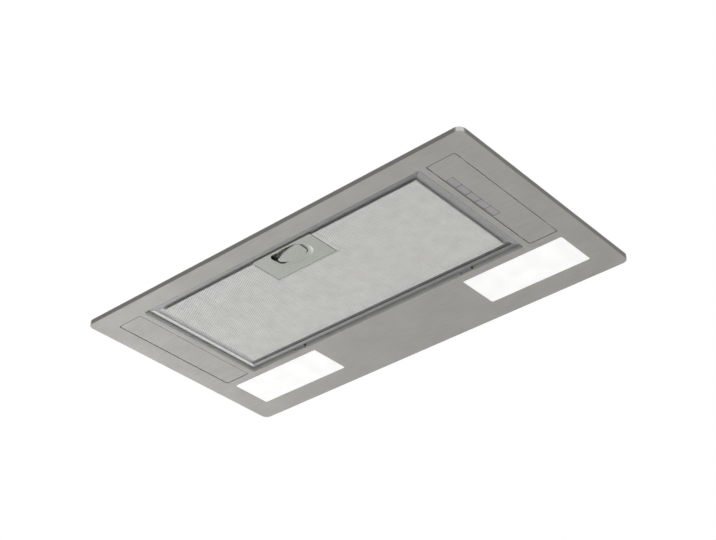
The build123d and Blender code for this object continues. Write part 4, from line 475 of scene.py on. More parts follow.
# %% One finish for each material slot
LOOKS = {
    "panel_steel": brushed_stainless(),
    "latch_steel": drifting("pressed_stainless", "B9BBB5", "CBCDC8", (0.8, 0.8, 0.8),
                            (0.36, 0.46), 0.008, detail=3.0),
    "filter_frame": rolled_aluminium(),
    "filter_mesh": drifting("washed_aluminium", "EAEAE8", "F6F6F4", (14, 14, 14), (0.42, 0.60),
                            0.010, 0.3, 5.0, 0.65),
    "zinc_sheet": galvanised_sheet(),
    "fastener": drifting("zinc_plating", "AEB2B4", "D0D3D4", (2, 2, 2), (0.22, 0.36)),
    "spring_steel": drifting("oiled_spring_steel", "6A6C70", "8F9194", (6, 6, 6), (0.24, 0.34)),
    "wheel_steel": drifting("fine_spangle_zinc", "9EA2A4", "BEC1C2", (3, 3, 3), (0.34, 0.5)),
    "motor_steel": drifting("drawn_zinc_steel", "A3A6A8", "C2C4C5", (18, 1, 1), (0.28, 0.42)),
    "shaft_steel": drifting("ground_steel", "BEC0C2", "DADBDC", (0.3, 9, 9), (0.14, 0.24)),
    "motor_iron": laminated_iron(),
    "white_plastic": moulded("white_polyester", "DEDDD6", "ECEBE5", 0.7, (0.40, 0.50)),
    "grey_plastic": moulded("grey_styrene", "84888C", "94989B", 0.8, (0.42, 0.54)),
    "dark_plastic": moulded("black_nylon", "1C1D1F", "2A2B2D", 0.8, (0.40, 0.54)),
    "button_plastic": moulded("satin_button_plastic", "A7A5A8", "B2B0B3", 0.5, (0.34, 0.42)),
    "blower_plastic": moulded("grey_polypropylene", "35383B", "45484B", 1.0, (0.42, 0.56)),
    "collar_plastic": moulded("black_polypropylene", "1A1B1D", "29292B", 1.0, (0.38, 0.52)),
    "cable_sheath": moulded("soft_vinyl", "16171A", "232427", 0.6, (0.45, 0.6)),
    "led_board": diode_board(),
    "light_lens": opal_acrylic(),
}
for name, node in nodes.items():
    node.data.materials.clear()
    node.data.materials.append(LOOKS[SLOTS[name]])
print("finishes", len(LOOKS))

# %% [markdown]
# ## Tools for bent sheet
#
# Most of a hood is thin sheet that is cut flat, pressed and folded. So each sheet piece starts
# as its outlines: loops of edges for the rim, the folds, the holes and the beads. Loops that
# make a bend are bridged, the flat metal between the rest is filled in one go, and Solidify
# then gives it the sheet's thickness on its hidden side.


# %% Drawing and picking in edit mode
BEND_STEPS = 4
OVAL_STEPS = 48
DOUBLED = 0.001


def begin(name):
    """Starts a piece: an empty mesh at the origin, in edit mode."""
    bpy.ops.object.select_all(action="DESELECT")
    bpy.ops.object.add(type="MESH", location=(0, 0, 0))
    piece = bpy.context.object
    piece.name = name
    piece.data.name = name
    bpy.ops.object.mode_set(mode="EDIT")
    return piece


def edit_mesh():
    return bmesh.from_edit_mesh(bpy.context.object.data)


def pick(kind, test):
    """Selects each vertex, edge or face that passes the test, and nothing else."""
    bpy.ops.mesh.select_mode(type=kind)
    bpy.ops.mesh.select_all(action="DESELECT")
    mesh = edit_mesh()
    items = {"VERT": mesh.verts, "EDGE": mesh.edges, "FACE": mesh.faces}[kind]
    found = [item for item in items if test(item)]
    if not found:
        raise ValueError("nothing picked in " + bpy.context.object.name)
    for item in found:
        item.select_set(True)
    mesh.select_flush(True)
    bmesh.update_edit_mesh(bpy.context.object.data)


def level(item, z, slack=0.01):
    """Whether an edge or a face lies at height z."""
    return all(abs(v.co.z - z) < slack for v in item.verts)


def pick_all():
    bpy.ops.mesh.select_all(action="SELECT")


def pick_nothing():
    """Goes to vertices and selects none, so that only what is added next is selected."""
    bpy.ops.mesh.select_mode(type="VERT")
    bpy.ops.mesh.select_all(action="DESELECT")


def rounded_loop(rect, z, inset=0, radius=0, steps=6):
    """Draws a rectangle of edges with rounded corners; rect is its two x and two y limits."""
    x_a, x_b, y_a, y_b = rect
    centre = ((x_a + x_b) / 2, (y_a + y_b) / 2, z)
    pick_nothing()
    bpy.ops.mesh.primitive_plane_add(size=1, location=centre)
    bpy.ops.transform.resize(value=(x_b - x_a - 2 * inset, y_b - y_a - 2 * inset, 1),
                             center_override=centre)
    if radius > inset:
        bpy.ops.mesh.bevel(offset=radius - inset, segments=steps, affect="VERTICES")
    bpy.ops.mesh.delete(type="ONLY_FACE")


def oval_loop(centre, half, stretch):
    """Draws a circle of edges whose depth is stretched."""
    pick_nothing()
    bpy.ops.mesh.primitive_circle_add(vertices=OVAL_STEPS, radius=half, location=centre)
    bpy.ops.transform.resize(value=(1, stretch, 1), center_override=centre)


def trace(points):
    """Draws a line of edges through points, from one corner that is pulled along."""
    pick_nothing()
    bpy.ops.mesh.primitive_plane_add(size=1, location=points[0])
    bpy.ops.mesh.merge(type="CENTER")
    for a, b in zip(points, points[1:]):
        step = Vector(b) - Vector(a)
        bpy.ops.mesh.extrude_vertices_move(TRANSFORM_OT_translate={"value": step})


def pull(vector):
    """Extrudes all that is selected."""
    bpy.ops.mesh.extrude_region_move(TRANSFORM_OT_translate={"value": vector})


def spot(vertex):
    """Where a vertex is, to a thousandth of a millimetre."""
    return tuple(round(c, 3) for c in vertex.co)


def bridged(draw, profile):
    """Draws one loop for each step of a profile, and joins each to the next."""
    last = set()
    for step in profile:
        before = {spot(vertex) for vertex in edit_mesh().verts}
        draw(*step)
        new = {spot(vertex) for vertex in edit_mesh().verts} - before
        if last:
            both = last | new
            pick("VERT", lambda vertex: spot(vertex) in both)
            bpy.ops.mesh.select_mode(type="EDGE")
            bpy.ops.mesh.bridge_edge_loops()
        last = new


def bend(radius, side):
    """The profile of a bend from the flat up to a wall; side is 1 for a rim, -1 for a hole."""
    turns = [math.pi / 2 * i / BEND_STEPS for i in range(BEND_STEPS + 1)]
    return [(side * radius * (1 - math.sin(t)), radius * (1 - math.cos(t))) for t in turns]


def agree():
    """Selects all and makes all normals agree."""
    pick_all()
    bpy.ops.mesh.normals_make_consistent(inside=False)


def weld():
    """Selects all and merges corners that lie on each other, and makes all normals agree."""
    pick_all()
    bpy.ops.mesh.remove_doubles(threshold=DOUBLED)
    agree()


def fill_flat(z):
    """Fills the metal between all open edges that lie at height z."""
    pick("EDGE", lambda edge: level(edge, z) and len(edge.link_faces) < 2)
    bpy.ops.mesh.fill()


def face_flat(z, direction):
    """Makes all normals agree, with the flat metal at height z facing up (1) or down (-1)."""
    bpy.ops.mesh.select_mode(type="FACE")
    weld()
    flat = max((f for f in edit_mesh().faces if level(f, z)), key=lambda f: f.calc_area())
    if flat.normal.z * direction < 0:
        bpy.ops.mesh.flip_normals()


# %% Modifiers and the last step of each piece
def modify(piece, kind, **settings):
    """Gives a piece a modifier and applies it."""
    if bpy.context.mode != "OBJECT":
        bpy.ops.object.mode_set(mode="OBJECT")
    made = piece.modifiers.new(kind.lower(), kind)
    for name, value in settings.items():
        setattr(made, name, value)
    bpy.context.view_layer.objects.active = piece
    bpy.ops.object.modifier_apply(modifier=made.name)


def thicken(piece, thickness, even=False):
    """Gives a skin its thickness behind it; even keeps that thickness in bends too."""
    modify(piece, "SOLIDIFY", thickness=thickness, offset=-1, use_even_offset=even)


def round_edges(piece, width, steps, over):
    """Bevels all edges that turn by more than so many degrees."""
    modify(piece, "BEVEL", width=width, segments=steps, limit_method="ANGLE",
           angle_limit=math.radians(over))


def combine(piece, tool, operation):
    """Adds a tool's shape to a piece or takes it out, and takes the tool away."""
    modify(piece, "BOOLEAN", operation=operation, object=tool, solver="EXACT")
    bpy.data.objects.remove(tool)


def cut(piece, *cutters):
    """Takes the cutters' shapes out of a piece."""
    for cutter in cutters:
        combine(piece, cutter, "DIFFERENCE")


def settle():
    """Makes the place, turn and size of what is selected part of its mesh."""
    bpy.ops.object.transform_apply(location=True, rotation=True, scale=True)


def only(piece):
    """Makes a piece the one selected and active object, in object mode."""
    if bpy.context.mode != "OBJECT":
        bpy.ops.object.mode_set(mode="OBJECT")
    bpy.ops.object.select_all(action="DESELECT")
    piece.select_set(True)
    bpy.context.view_layer.objects.active = piece


def join(pieces, name):
    """Makes one piece of several, each where it lies."""
    bpy.ops.object.select_all(action="DESELECT")
    for piece in pieces:
        piece.select_set(True)
    bpy.context.view_layer.objects.active = pieces[0]
    settle()
    bpy.ops.object.join()
    joined = bpy.context.object
    joined.name = joined.data.name = name
    return joined


def smooth(piece, angle=32):
    """Smooths the gentle edges, and lets the large faces keep flat."""
    only(piece)
    bpy.ops.object.shade_smooth_by_angle(angle=math.radians(angle))
    modify(piece, "WEIGHTED_NORMAL", keep_sharp=True)


def complete(piece, smooth_angle=32):
    """Takes a piece from millimetres to metres, and smooths its gentle edges."""
    only(piece)
    piece.scale = (MM, MM, MM)
    settle()
    smooth(piece, smooth_angle)
    return piece


def box_cutter(x_a, x_b, y_a, y_b, z_a, z_b):
    """A block between limits, to cut with."""
    bpy.ops.object.select_all(action="DESELECT")
    bpy.ops.mesh.primitive_cube_add(size=1, location=((x_a + x_b) / 2, (y_a + y_b) / 2,
                                                      (z_a + z_b) / 2))
    made = bpy.context.object
    made.scale = (x_b - x_a, y_b - y_a, z_b - z_a)
    settle()
    return made


def slot_cutters(x, half, *others):
    """Two blocks at x on both sides, given half their length and their limits in y and z."""
    return [box_cutter(side * x - half, side * x + half, *others) for side in (-1, 1)]


# %% [markdown]
# ## The panel
#
# One sheet of 0.8 mm stainless steel, pressed: a low rim all round with a 1 mm bend, an opening
# for the filter whose edge is turned up into the hood, two windows for the lights and two for
# the end covers. Two slots in that turned-up edge take the filter's hooks.

# %% Panel
panel_low, panel_high = mm_box("panel")
PANEL_RECT = (panel_low.x, panel_high.x, panel_low.y, panel_high.y)
PANEL_RADIUS = 8.0
PANEL_SHEET = 0.8
RIM_TOP = 5.8
RIM_BEND = 1.0
OPENING_RECT = (-194.0, 194.0, -120.2, 51.3)
OPENING_RADIUS = 2.0
OPENING_BEND = 0.9
FLANGE_TOP = 8.0
COVER_RECT = (202.0, 237.1, -119.1, 50.2)
LIGHT_RECT = (107.0, 234.0, 61.0, 113.7)
HOOK_X = 120.0
HOOK_SLOT_HALF = 8.5
HOOK_SLOT_Z = (2.75, 6.45)
THROUGH = 1.0


def mirrored(rect, side):
    """A rectangle on the right (1) or its mirror image on the left (-1)."""
    x_a, x_b, y_a, y_b = rect
    return rect if side > 0 else (-x_b, -x_a, y_a, y_b)


def make_panel_sheet():
    panel = begin("panel_sheet")
    bridged(lambda inset, z: rounded_loop(PANEL_RECT, z, inset, PANEL_RADIUS, 8),
            bend(RIM_BEND, 1) + [(0, RIM_TOP)])
    bridged(lambda inset, z: rounded_loop(OPENING_RECT, z, inset, OPENING_RADIUS),
            bend(OPENING_BEND, -1) + [(0, FLANGE_TOP)])
    for side in (-1, 1):
        rounded_loop(mirrored(COVER_RECT, side), 0, 0, OPENING_RADIUS)
        rounded_loop(mirrored(LIGHT_RECT, side), 0, 0, OPENING_RADIUS)
    fill_flat(0)
    face_flat(0, -1)
    thicken(panel, PANEL_SHEET, even=True)
    back = OPENING_RECT[3]
    cut(panel, *slot_cutters(HOOK_X, HOOK_SLOT_HALF, back - THROUGH, back + 2 * THROUGH,
                             *HOOK_SLOT_Z))
    round_edges(panel, width=0.3, steps=2, over=50)
    return complete(panel)


stand_in(make_panel_sheet(), "panel")

# %% [markdown]
# ## Grease filter frame
#
# The frame is a channel of bright aluminium strip that was rolled to one section, mitred and
# folded round the nets. Its open side grips them. One bar is drawn as its section, pulled out
# to length, bent along its corners and cut at 45 degrees, and the other three are made alike.

# %% Filter frame
FILTER_Z = 3.3
FILTER_SHEET = 0.8
FRAME_SECTION = ((12.0, 2.2), (5.2, 2.2), (5.2, 0.0), (0.0, 0.0), (0.0, 9.0), (7.0, 9.0))
FRAME_BENDS = 0.5
FOLD_STEPS = 3
MITRE_GAP = 0.08
LATCH_RECT = (-41.0, 41.0, -108.0, -67.0)
LATCH_GAP = 0.4
LATCH_BAY_DEPTH = 12.4
LATCH_BAY_TOP = 3.2
BOLT_X = 30.0
BOLT_SLOT_HALF = 4.4
BOLT_SLOT_DEPTH = 1.6
BOLT_SLOT_Z = (8.1, 9.7)


def folded_strip(points, width, radius):
    """Pulls a folded section along its width, and rounds its folds."""
    trace(points)
    pick_all()
    pull(width)
    direction = Vector(width).normalized()
    pick("EDGE", lambda edge: len(edge.link_faces) == 2 and abs(
        (edge.verts[1].co - edge.verts[0].co).normalized().dot(direction)) > 0.99)
    bpy.ops.mesh.bevel(offset=radius, segments=FOLD_STEPS, affect="EDGES")
    agree()


def bolt_slots(front):
    """Two cutters for the bolts' slots in an upright wall that stands at y = front."""
    return slot_cutters(BOLT_X, BOLT_SLOT_HALF, front - THROUGH, front + BOLT_SLOT_DEPTH,
                        *BOLT_SLOT_Z)


def make_bar(length):
    """One bar along x, whose outer edge lies on y = 0 and whose ends are mitred."""
    bar = begin("filter_bar")
    points = [(-length / 2, inset, FILTER_Z + z) for inset, z in FRAME_SECTION]
    folded_strip(points, (length, 0, 0), FRAME_BENDS)
    for side in (-1, 1):
        pick_all()
        bpy.ops.mesh.bisect(plane_co=(side * (length / 2 - MITRE_GAP), 0, 0),
                            plane_no=(side, 1, 0), clear_outer=True)
    side_wall = next(f for f in edit_mesh().faces if all(abs(v.co.y) < 0.01 for v in f.verts))
    if side_wall.normal.y > 0:
        pick_all()
        bpy.ops.mesh.flip_normals()
    thicken(bar, FILTER_SHEET, even=True)
    return bar


def make_filter_frame():
    x_a, x_b, y_a, y_b = FILTER_RECT
    middle = (y_a + y_b) / 2
    bars = []
    for turn, place, length in ((0, (0, y_a), x_b - x_a), (90, (x_b, middle), y_b - y_a),
                                (180, (0, y_b), x_b - x_a), (270, (x_a, middle), y_b - y_a)):
        bar = make_bar(length)
        bar.rotation_euler.z = math.radians(turn)
        bar.location = (*place, 0)
        bars.append(bar)
    piece = join(bars, "filter_frame_bars")
    bay = box_cutter(LATCH_RECT[0] - LATCH_GAP, LATCH_RECT[1] + LATCH_GAP,
                     LATCH_RECT[2] - LATCH_GAP, y_a + LATCH_BAY_DEPTH,
                     FILTER_Z - THROUGH, FILTER_Z + LATCH_BAY_TOP)
    cut(piece, bay, *bolt_slots(y_a))
    round_edges(piece, width=0.08, steps=1, over=50)
    return complete(piece)


stand_in(make_filter_frame(), "filter_frame")

# %% [markdown]
# ## Nets
#
# Expanded metal is sheet that was slit and pulled apart, so its gaps are diamonds and its
# strands are tilted and a little uneven. A grid turned by 45 degrees and squeezed gives the
# diamonds, a separate inset of each face leaves the strands, and the corners are nudged. The
# front net has a bay for the latch plate. Its seam is wider on the right, where the plate
# stands off the net and leaves a dark line.

# %% Nets
FRONT_DIAMOND = (5.2, 2.6)
REAR_DIAMOND = (6.0, 3.0)
FRONT_NET_RECT = (-181.8, 181.8, -108.0, 38.1)
REAR_NET_RECT = (-189.8, 189.8, -116.0, 46.1)
FRONT_NET_Z = 3.55
REAR_NET_Z = 10.95
STRAND_HALF = 0.56
CUT_STRAND_HALF = 0.34
STRAND_UNEVEN = 0.11
NET_SHEET = 0.45
NET_HEM = 2.0
LATCH_SEAM = 0.3
LATCH_SHADOW_SEAM = 1.1
NET_BAY = (LATCH_RECT[0] - LATCH_SEAM, LATCH_RECT[1] + LATCH_SHADOW_SEAM,
           LATCH_RECT[2] - 9, LATCH_RECT[3] + LATCH_SEAM)


def cut_net(hole, diamond):
    """Cuts a bay into the net's front edge: hole is its rectangle, open towards the front."""
    for axis, place in ((0, hole[0]), (0, hole[1]), (1, hole[3])):
        other = 1 - axis
        low, high = (hole[2], hole[3]) if axis == 0 else (hole[0], hole[1])
        reach = diamond[other] / 2
        pick("FACE", lambda face: abs(face.calc_center_median()[axis] - place) < diamond[axis]
             and low - reach < face.calc_center_median()[other] < high + reach)
        plane = Vector((place, 0, 0) if axis == 0 else (0, place, 0))
        bpy.ops.mesh.bisect(plane_co=plane, plane_no=plane.normalized())
    pick("FACE", lambda face: hole[0] < face.calc_center_median().x < hole[1]
         and hole[2] < face.calc_center_median().y < hole[3])
    bpy.ops.mesh.delete(type="FACE")


def make_net(name, rect, z, seed, diamond, hole=None):
    """A net over rect, cut out over hole; diamond is the length and depth of one gap."""
    x_a, x_b, y_a, y_b = rect
    columns = round((x_b - x_a - 2 * NET_HEM) / diamond[0])
    rows = round((y_b - y_a - 2 * NET_HEM) / diamond[1])
    length = columns * diamond[0]
    depth = rows * diamond[1]
    centre = ((x_a + x_b) / 2, (y_a + y_b) / 2, z)
    cells = columns + rows
    net = begin(name)
    bpy.ops.mesh.primitive_grid_add(x_subdivisions=cells, y_subdivisions=cells,
                                    size=cells / math.sqrt(2), location=centre)
    bpy.ops.transform.rotate(value=math.radians(45), orient_axis="Z", center_override=centre)
    bpy.ops.transform.resize(value=(*diamond, 1), center_override=centre)
    for normal, reach in (((1, 0, 0), length / 2), ((-1, 0, 0), length / 2),
                          ((0, 1, 0), depth / 2), ((0, -1, 0), depth / 2)):
        pick_all()
        plane = Vector(centre) + Vector(normal) * (reach + 0.001)
        bpy.ops.mesh.bisect(plane_co=plane, plane_no=normal, clear_outer=True)
    if hole:
        cut_net(hole, diamond)
    whole = diamond[0] * diamond[1] / 2
    for least, most, half in ((0.9, 1.1, STRAND_HALF), (0.3, 0.9, CUT_STRAND_HALF)):
        pick("FACE", lambda face: least < face.calc_area() / whole < most)
        bpy.ops.mesh.inset(thickness=half, use_individual=True)
        bpy.ops.mesh.delete(type="FACE")
    pick_all()
    bpy.ops.transform.vertex_random(offset=STRAND_UNEVEN, normal=0, seed=seed)
    agree()
    if edit_mesh().faces[0].normal.z > 0:
        bpy.ops.mesh.flip_normals()
    thicken(net, NET_SHEET)
    print(name, "cells", columns, "by", rows)
    return complete(net)


stand_in(make_net("front_net", FRONT_NET_RECT, FRONT_NET_Z, 1, FRONT_DIAMOND, NET_BAY),
         "filter_front_mesh")
stand_in(make_net("rear_net", REAR_NET_RECT, REAR_NET_Z, 2, REAR_DIAMOND), "filter_rear_mesh")

# %% [markdown]
# ## Latch plate and slide
#
# The latch plate is a pressed tray with a dished place for a fingertip. The finger reaches
# through its pocket and draws a curved lip back, which pulls two bolts off the panel's edge.
# The dish is a set of ellipses at rising heights, bridged like the bends before.

# %% Latch plate
LATCH_Z = 3.5
LATCH_SHEET = 0.8
LATCH_TRAY_TOP = 10.6
LATCH_BEND = 0.7
LATCH_RADIUS = 1.5
LATCH_FLANGE = 4.0
LATCH_FLANGE_Z = 5.4
LATCH_FLANGE_FRONT = -104.8
FLANGE_INTO_TRAY = 0.3
FLANGE_FRONT_BAR = 0.8
POCKET_RECT = (-20.0, 20.0, -105.5, -84.0)
POCKET_RADIUS = 6.0
POCKET_Z = (2.5, 6.5)
DISH_CENTRE = (2.5, -91.0)
DISH_HALF = 25.0
DISH_STRETCH = 0.62
DISH_PROFILE = ((0, 0), (0.7, 0.1), (1.6, 0.45), (2.5, 0.95), (3.6, 1.25), (5.5, 1.4))


def make_latch_plate():
    x_a, x_b, y_a, y_b = LATCH_RECT
    plate = begin("latch_tray")
    bridged(lambda inset, rise: rounded_loop(LATCH_RECT, LATCH_Z + rise, inset, LATCH_RADIUS),
            bend(LATCH_BEND, 1) + [(0, LATCH_TRAY_TOP - LATCH_Z)])
    bridged(lambda inset, rise: oval_loop((*DISH_CENTRE, LATCH_Z + rise), DISH_HALF - inset,
                                          DISH_STRETCH), DISH_PROFILE)
    fill_flat(LATCH_Z)
    fill_flat(LATCH_Z + DISH_PROFILE[-1][1])
    face_flat(LATCH_Z, -1)
    thicken(plate, LATCH_SHEET, even=True)
    rim = begin("latch_flange")
    rounded_loop((x_a - LATCH_FLANGE, x_b + LATCH_FLANGE, LATCH_FLANGE_FRONT, y_b + LATCH_FLANGE),
                 LATCH_FLANGE_Z, 0, LATCH_RADIUS)
    rounded_loop((x_a + FLANGE_INTO_TRAY, x_b - FLANGE_INTO_TRAY,
                  LATCH_FLANGE_FRONT + FLANGE_FRONT_BAR, y_b - FLANGE_INTO_TRAY), LATCH_FLANGE_Z)
    fill_flat(LATCH_FLANGE_Z)
    face_flat(LATCH_FLANGE_Z, -1)
    thicken(rim, LATCH_SHEET)
    pocket = begin("pocket_cutter")
    bridged(lambda z: rounded_loop(POCKET_RECT, z, 0, POCKET_RADIUS, 8), [(z,) for z in POCKET_Z])
    for z in POCKET_Z:
        fill_flat(z)
    face_flat(POCKET_Z[0], -1)
    bpy.ops.object.mode_set(mode="OBJECT")
    cut(plate, pocket, *bolt_slots(y_a))
    plate = join([plate, rim], "latch_tray")
    round_edges(plate, width=0.2, steps=2, over=60)
    return complete(plate)


stand_in(make_latch_plate(), "latch_plate")

# %% Latch slide
PAD_EDGE = ((-16.8, -94.8, -89.9), (-11.0, -97.2, -85.9), (-2.0, -100.6, -83.4),
            (9.0, -102.7, -83.8), (14.5, -103.5, -85.3), (17.8, -103.2, -86.9),
            (19.7, -100.6, -88.3))
PAD_Z = 3.65
PAD_LIP = ((1.5, 3.65), (0.5, 3.95), (0.0, 4.6), (0.1, 7.6), (1.0, 8.6))
PAD_ROOT = (-93.0, 8.6)
PAD_SHEET = 0.7
PAD_SLOT = (-18.5, 18.5, -105.5, -96.0)
SLIDE_Z = 8.3
SLIDE_SHEET = 1.2
SLIDE_HALF = 36.0
SLIDE_FRONT = -106.8
SLIDE_BACK = -76.3
BOLT_TIP = -123.5
BOLT_HALF = 4.0


def make_slide_sheet():
    """The flat slide with its two bolts, and a slot where the pad is bent out of it."""
    corners = [(-SLIDE_HALF, SLIDE_BACK), (-SLIDE_HALF, SLIDE_FRONT)]
    for x in (-BOLT_X, BOLT_X):
        corners += [(x - BOLT_HALF, SLIDE_FRONT), (x - BOLT_HALF, BOLT_TIP),
                    (x + BOLT_HALF, BOLT_TIP), (x + BOLT_HALF, SLIDE_FRONT)]
    corners += [(SLIDE_HALF, SLIDE_FRONT), (SLIDE_HALF, SLIDE_BACK)]
    sheet = begin("slide_sheet")
    trace([(x, y, SLIDE_Z) for x, y in corners + corners[:1]])
    rounded_loop(PAD_SLOT, SLIDE_Z)
    weld()
    fill_flat(SLIDE_Z)
    face_flat(SLIDE_Z, -1)
    thicken(sheet, SLIDE_SHEET)
    return sheet


def make_latch_slide():
    sheet = make_slide_sheet()
    pad = begin("slide_pad")
    bridged(lambda x, front, back: trace([(x, back, PAD_Z)]
                                         + [(x, front + y, z) for y, z in PAD_LIP]
                                         + [(x, *PAD_ROOT)]), PAD_EDGE)
    agree()
    if min(edit_mesh().faces, key=lambda f: f.calc_center_median().z).normal.z > 0:
        bpy.ops.mesh.flip_normals()
    thicken(pad, PAD_SHEET, even=True)
    slide = join([sheet, pad], "latch_slide_sheet")
    round_edges(slide, width=0.28, steps=3, over=40)
    return complete(slide)


stand_in(make_latch_slide(), "latch_slide")

# %% [markdown]
# ## Softened copies
#
# Many inner pieces have the right shape already, but their edges are perfectly sharp, which no
# moulded or stamped edge is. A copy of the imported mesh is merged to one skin, its flat areas
# are dissolved to whole faces, and a small bevel breaks its edges so that they catch light.


# %% Softened copies
def soften(name, width):
    """A copy of a node with rounded edges; width is in millimetres."""
    piece = bpy.data.objects.new(name + "_skin", nodes[name].data.copy())
    bpy.context.collection.objects.link(piece)
    only(piece)
    bpy.ops.object.mode_set(mode="EDIT")
    pick_all()
    bpy.ops.mesh.remove_doubles(threshold=DOUBLED * MM)
    bpy.ops.mesh.dissolve_limited(angle_limit=math.radians(1))
    round_edges(piece, width * MM, steps=2, over=35)
    smooth(piece)
    return piece


def place_tool(tool, place, turn):
    """Turns a tool by degrees round x, y and z and moves it, from millimetres to metres."""
    only(tool)
    tool.scale = (MM, MM, MM)
    tool.rotation_euler = [math.radians(angle) for angle in turn]
    tool.location = Vector(place) * MM
    settle()


# %% [markdown]
# ## Sheet-metal body
#
# The walls and the lid are 0.8 mm galvanised sheet. Large flat sheet drums and buckles, so it
# gets shallow pressed beads. The press pushes a ridge out on one side and leaves a groove on
# the other: here a rounded bar is added outside, and the same bar is taken away inside.

# %% Beads in the walls and the lid
BEAD_WIDTH = 9.0
BEAD_ENDS = 0.49
BEAD_PROFILE = ((0, -0.4), (0, 0), (0.6, 0.55), (1.5, 1.0), (2.6, 1.35), (3.4, 1.5))
WALL_SHEET = 0.8
WALL_Y = mm_box("front_wall")[0].y
WALL_X = mm_box("right_end_wall")[1].x
LID_Z = mm_box("top_plate")[1].z
END_BEADS = ((60, 150), (118, 210))
BEADS = {
    "front_wall": [((0, WALL_Y, z), (90, 0, 0), 340) for z in (62, 118)],
    "back_wall": [((0, -WALL_Y, z), (-90, 0, 0), 340) for z in (62, 118)],
    "left_end_wall": [((-WALL_X, 0, z), (90, 0, -90), length) for z, length in END_BEADS],
    "right_end_wall": [((WALL_X, 0, z), (90, 0, 90), length) for z, length in END_BEADS],
    "top_plate": [((-150, 0, LID_Z), (0, 0, 90), 190), ((150, -20, LID_Z), (0, 0, 90), 150),
                  ((0, -85, LID_Z), (0, 0, 0), 220), ((-205, 0, LID_Z), (0, 0, 90), 190)],
}


def bead_tool(length):
    """A closed bar with a domed top, along x, whose base lies on z = 0."""
    tool = begin("bead_tool")
    rect = (-length / 2, length / 2, -BEAD_WIDTH / 2, BEAD_WIDTH / 2)
    bridged(lambda inset, z: rounded_loop(rect, z, inset, BEAD_WIDTH * BEAD_ENDS, 5), BEAD_PROFILE)
    fill_flat(BEAD_PROFILE[0][1])
    fill_flat(BEAD_PROFILE[-1][1])
    face_flat(BEAD_PROFILE[-1][1], 1)
    only(tool)
    return tool


def emboss(piece, place, turn, length):
    """Presses one bead into a sheet in metres: a ridge on its face, and a groove behind."""
    for operation, lift in (("UNION", 0), ("DIFFERENCE", -WALL_SHEET)):
        tool = bead_tool(length)
        bpy.ops.transform.translate(value=(0, 0, lift))
        settle()
        place_tool(tool, place, turn)
        combine(piece, tool, operation)


for name, beads in BEADS.items():
    sheet = soften(name, 0.2)
    for place, turn, length in beads:
        emboss(sheet, place, turn, length)
    smooth(sheet)
    stand_in(sheet, name)

# %% [markdown]
# ## Screws
#
# The hood is held by zinc-plated pan-head screws with a cross recess. One screw is turned from
# its outline, with rings in place of the thread's turns, and the cross is cut from its head.
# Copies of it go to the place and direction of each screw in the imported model.

# %% Screws
TURN_STEPS = 20
THREAD_PITCH = 1.1
THREAD_DEPTH = 0.22
TIP_ROUNDING = 0.2
SHANK_RADIUS = 1.45
HEAD_HEIGHTS = {"body_screws": 1.6, "scroll_screws": 2.0}
HEAD_DOME = ((0, 0), (0.5, -0.06), (0.8, -0.24), (0.95, -0.55))
HEAD_EDGE = 0.6
CROSS_LENGTH = 3.0
CROSS_WIDTH = 0.65
CROSS_DEPTH = 0.9


def screw_outline(head_radius, head_height, length):
    """A screw's radii and heights, from the top of its head at z = 0 down to its tip."""
    root = SHANK_RADIUS - THREAD_DEPTH
    line = [(head_radius * share, z) for share, z in HEAD_DOME]
    line += [(head_radius, -head_height * HEAD_EDGE), (head_radius, -head_height),
             (SHANK_RADIUS, -head_height)]
    z = -head_height - THREAD_PITCH
    while z > THREAD_PITCH - length:
        line += [(root, z + THREAD_PITCH / 2), (SHANK_RADIUS, z)]
        z -= THREAD_PITCH
    return line + [(root, TIP_ROUNDING - length), (root - THREAD_DEPTH, -length), (0, -length)]


def make_screw(*sizes):
    """A pan-head screw: its outline spun once round z, and a cross cut from its head."""
    screw = begin("screw")
    trace([(radius, 0, z) for radius, z in screw_outline(*sizes)])
    pick_all()
    bpy.ops.mesh.spin(steps=TURN_STEPS, angle=math.tau, center=(0, 0, 0), axis=(0, 0, 1))
    weld()
    only(screw)
    half = CROSS_LENGTH / 2
    thin = CROSS_WIDTH / 2
    cut(screw, box_cutter(-half, half, -thin, thin, -CROSS_DEPTH, THROUGH),
        box_cutter(-thin, thin, -half, half, -CROSS_DEPTH, THROUGH))
    return screw


def loose_points(name):
    """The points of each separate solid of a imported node, in millimetres."""
    mesh = bmesh.new()
    mesh.from_mesh(nodes[name].data)
    bmesh.ops.remove_doubles(mesh, verts=mesh.verts, dist=1e-6)
    left = set(mesh.verts)
    solids = []
    while left:
        reached = [left.pop()]
        for vertex in reached:
            near = {edge.other_vert(vertex) for edge in vertex.link_edges} & left
            left -= near
            reached += near
        solids.append([vertex.co * 1000 for vertex in reached])
    mesh.free()
    return solids


def limits(points):
    """The lowest and the highest corner of the box round some points."""
    return [Vector([end(p[i] for p in points) for i in range(3)]) for end in (min, max)]


def screw_place(points):
    """Where a screw's head ends, its direction out of the metal, its length and head radius."""
    low, high = limits(points)
    size = high - low
    middle = (low + high) / 2
    along = max(range(3), key=lambda i: size[i])
    across = (along + 1) % 3
    wide = [p for p in points if abs(p[across] - middle[across]) > 0.45 * size[across]]
    side = 1 if sum(p[along] for p in wide) / len(wide) > middle[along] else -1
    out = Vector([side if i == along else 0 for i in range(3)])
    return middle + out * size[along] / 2, out, size[along], size[across] / 2


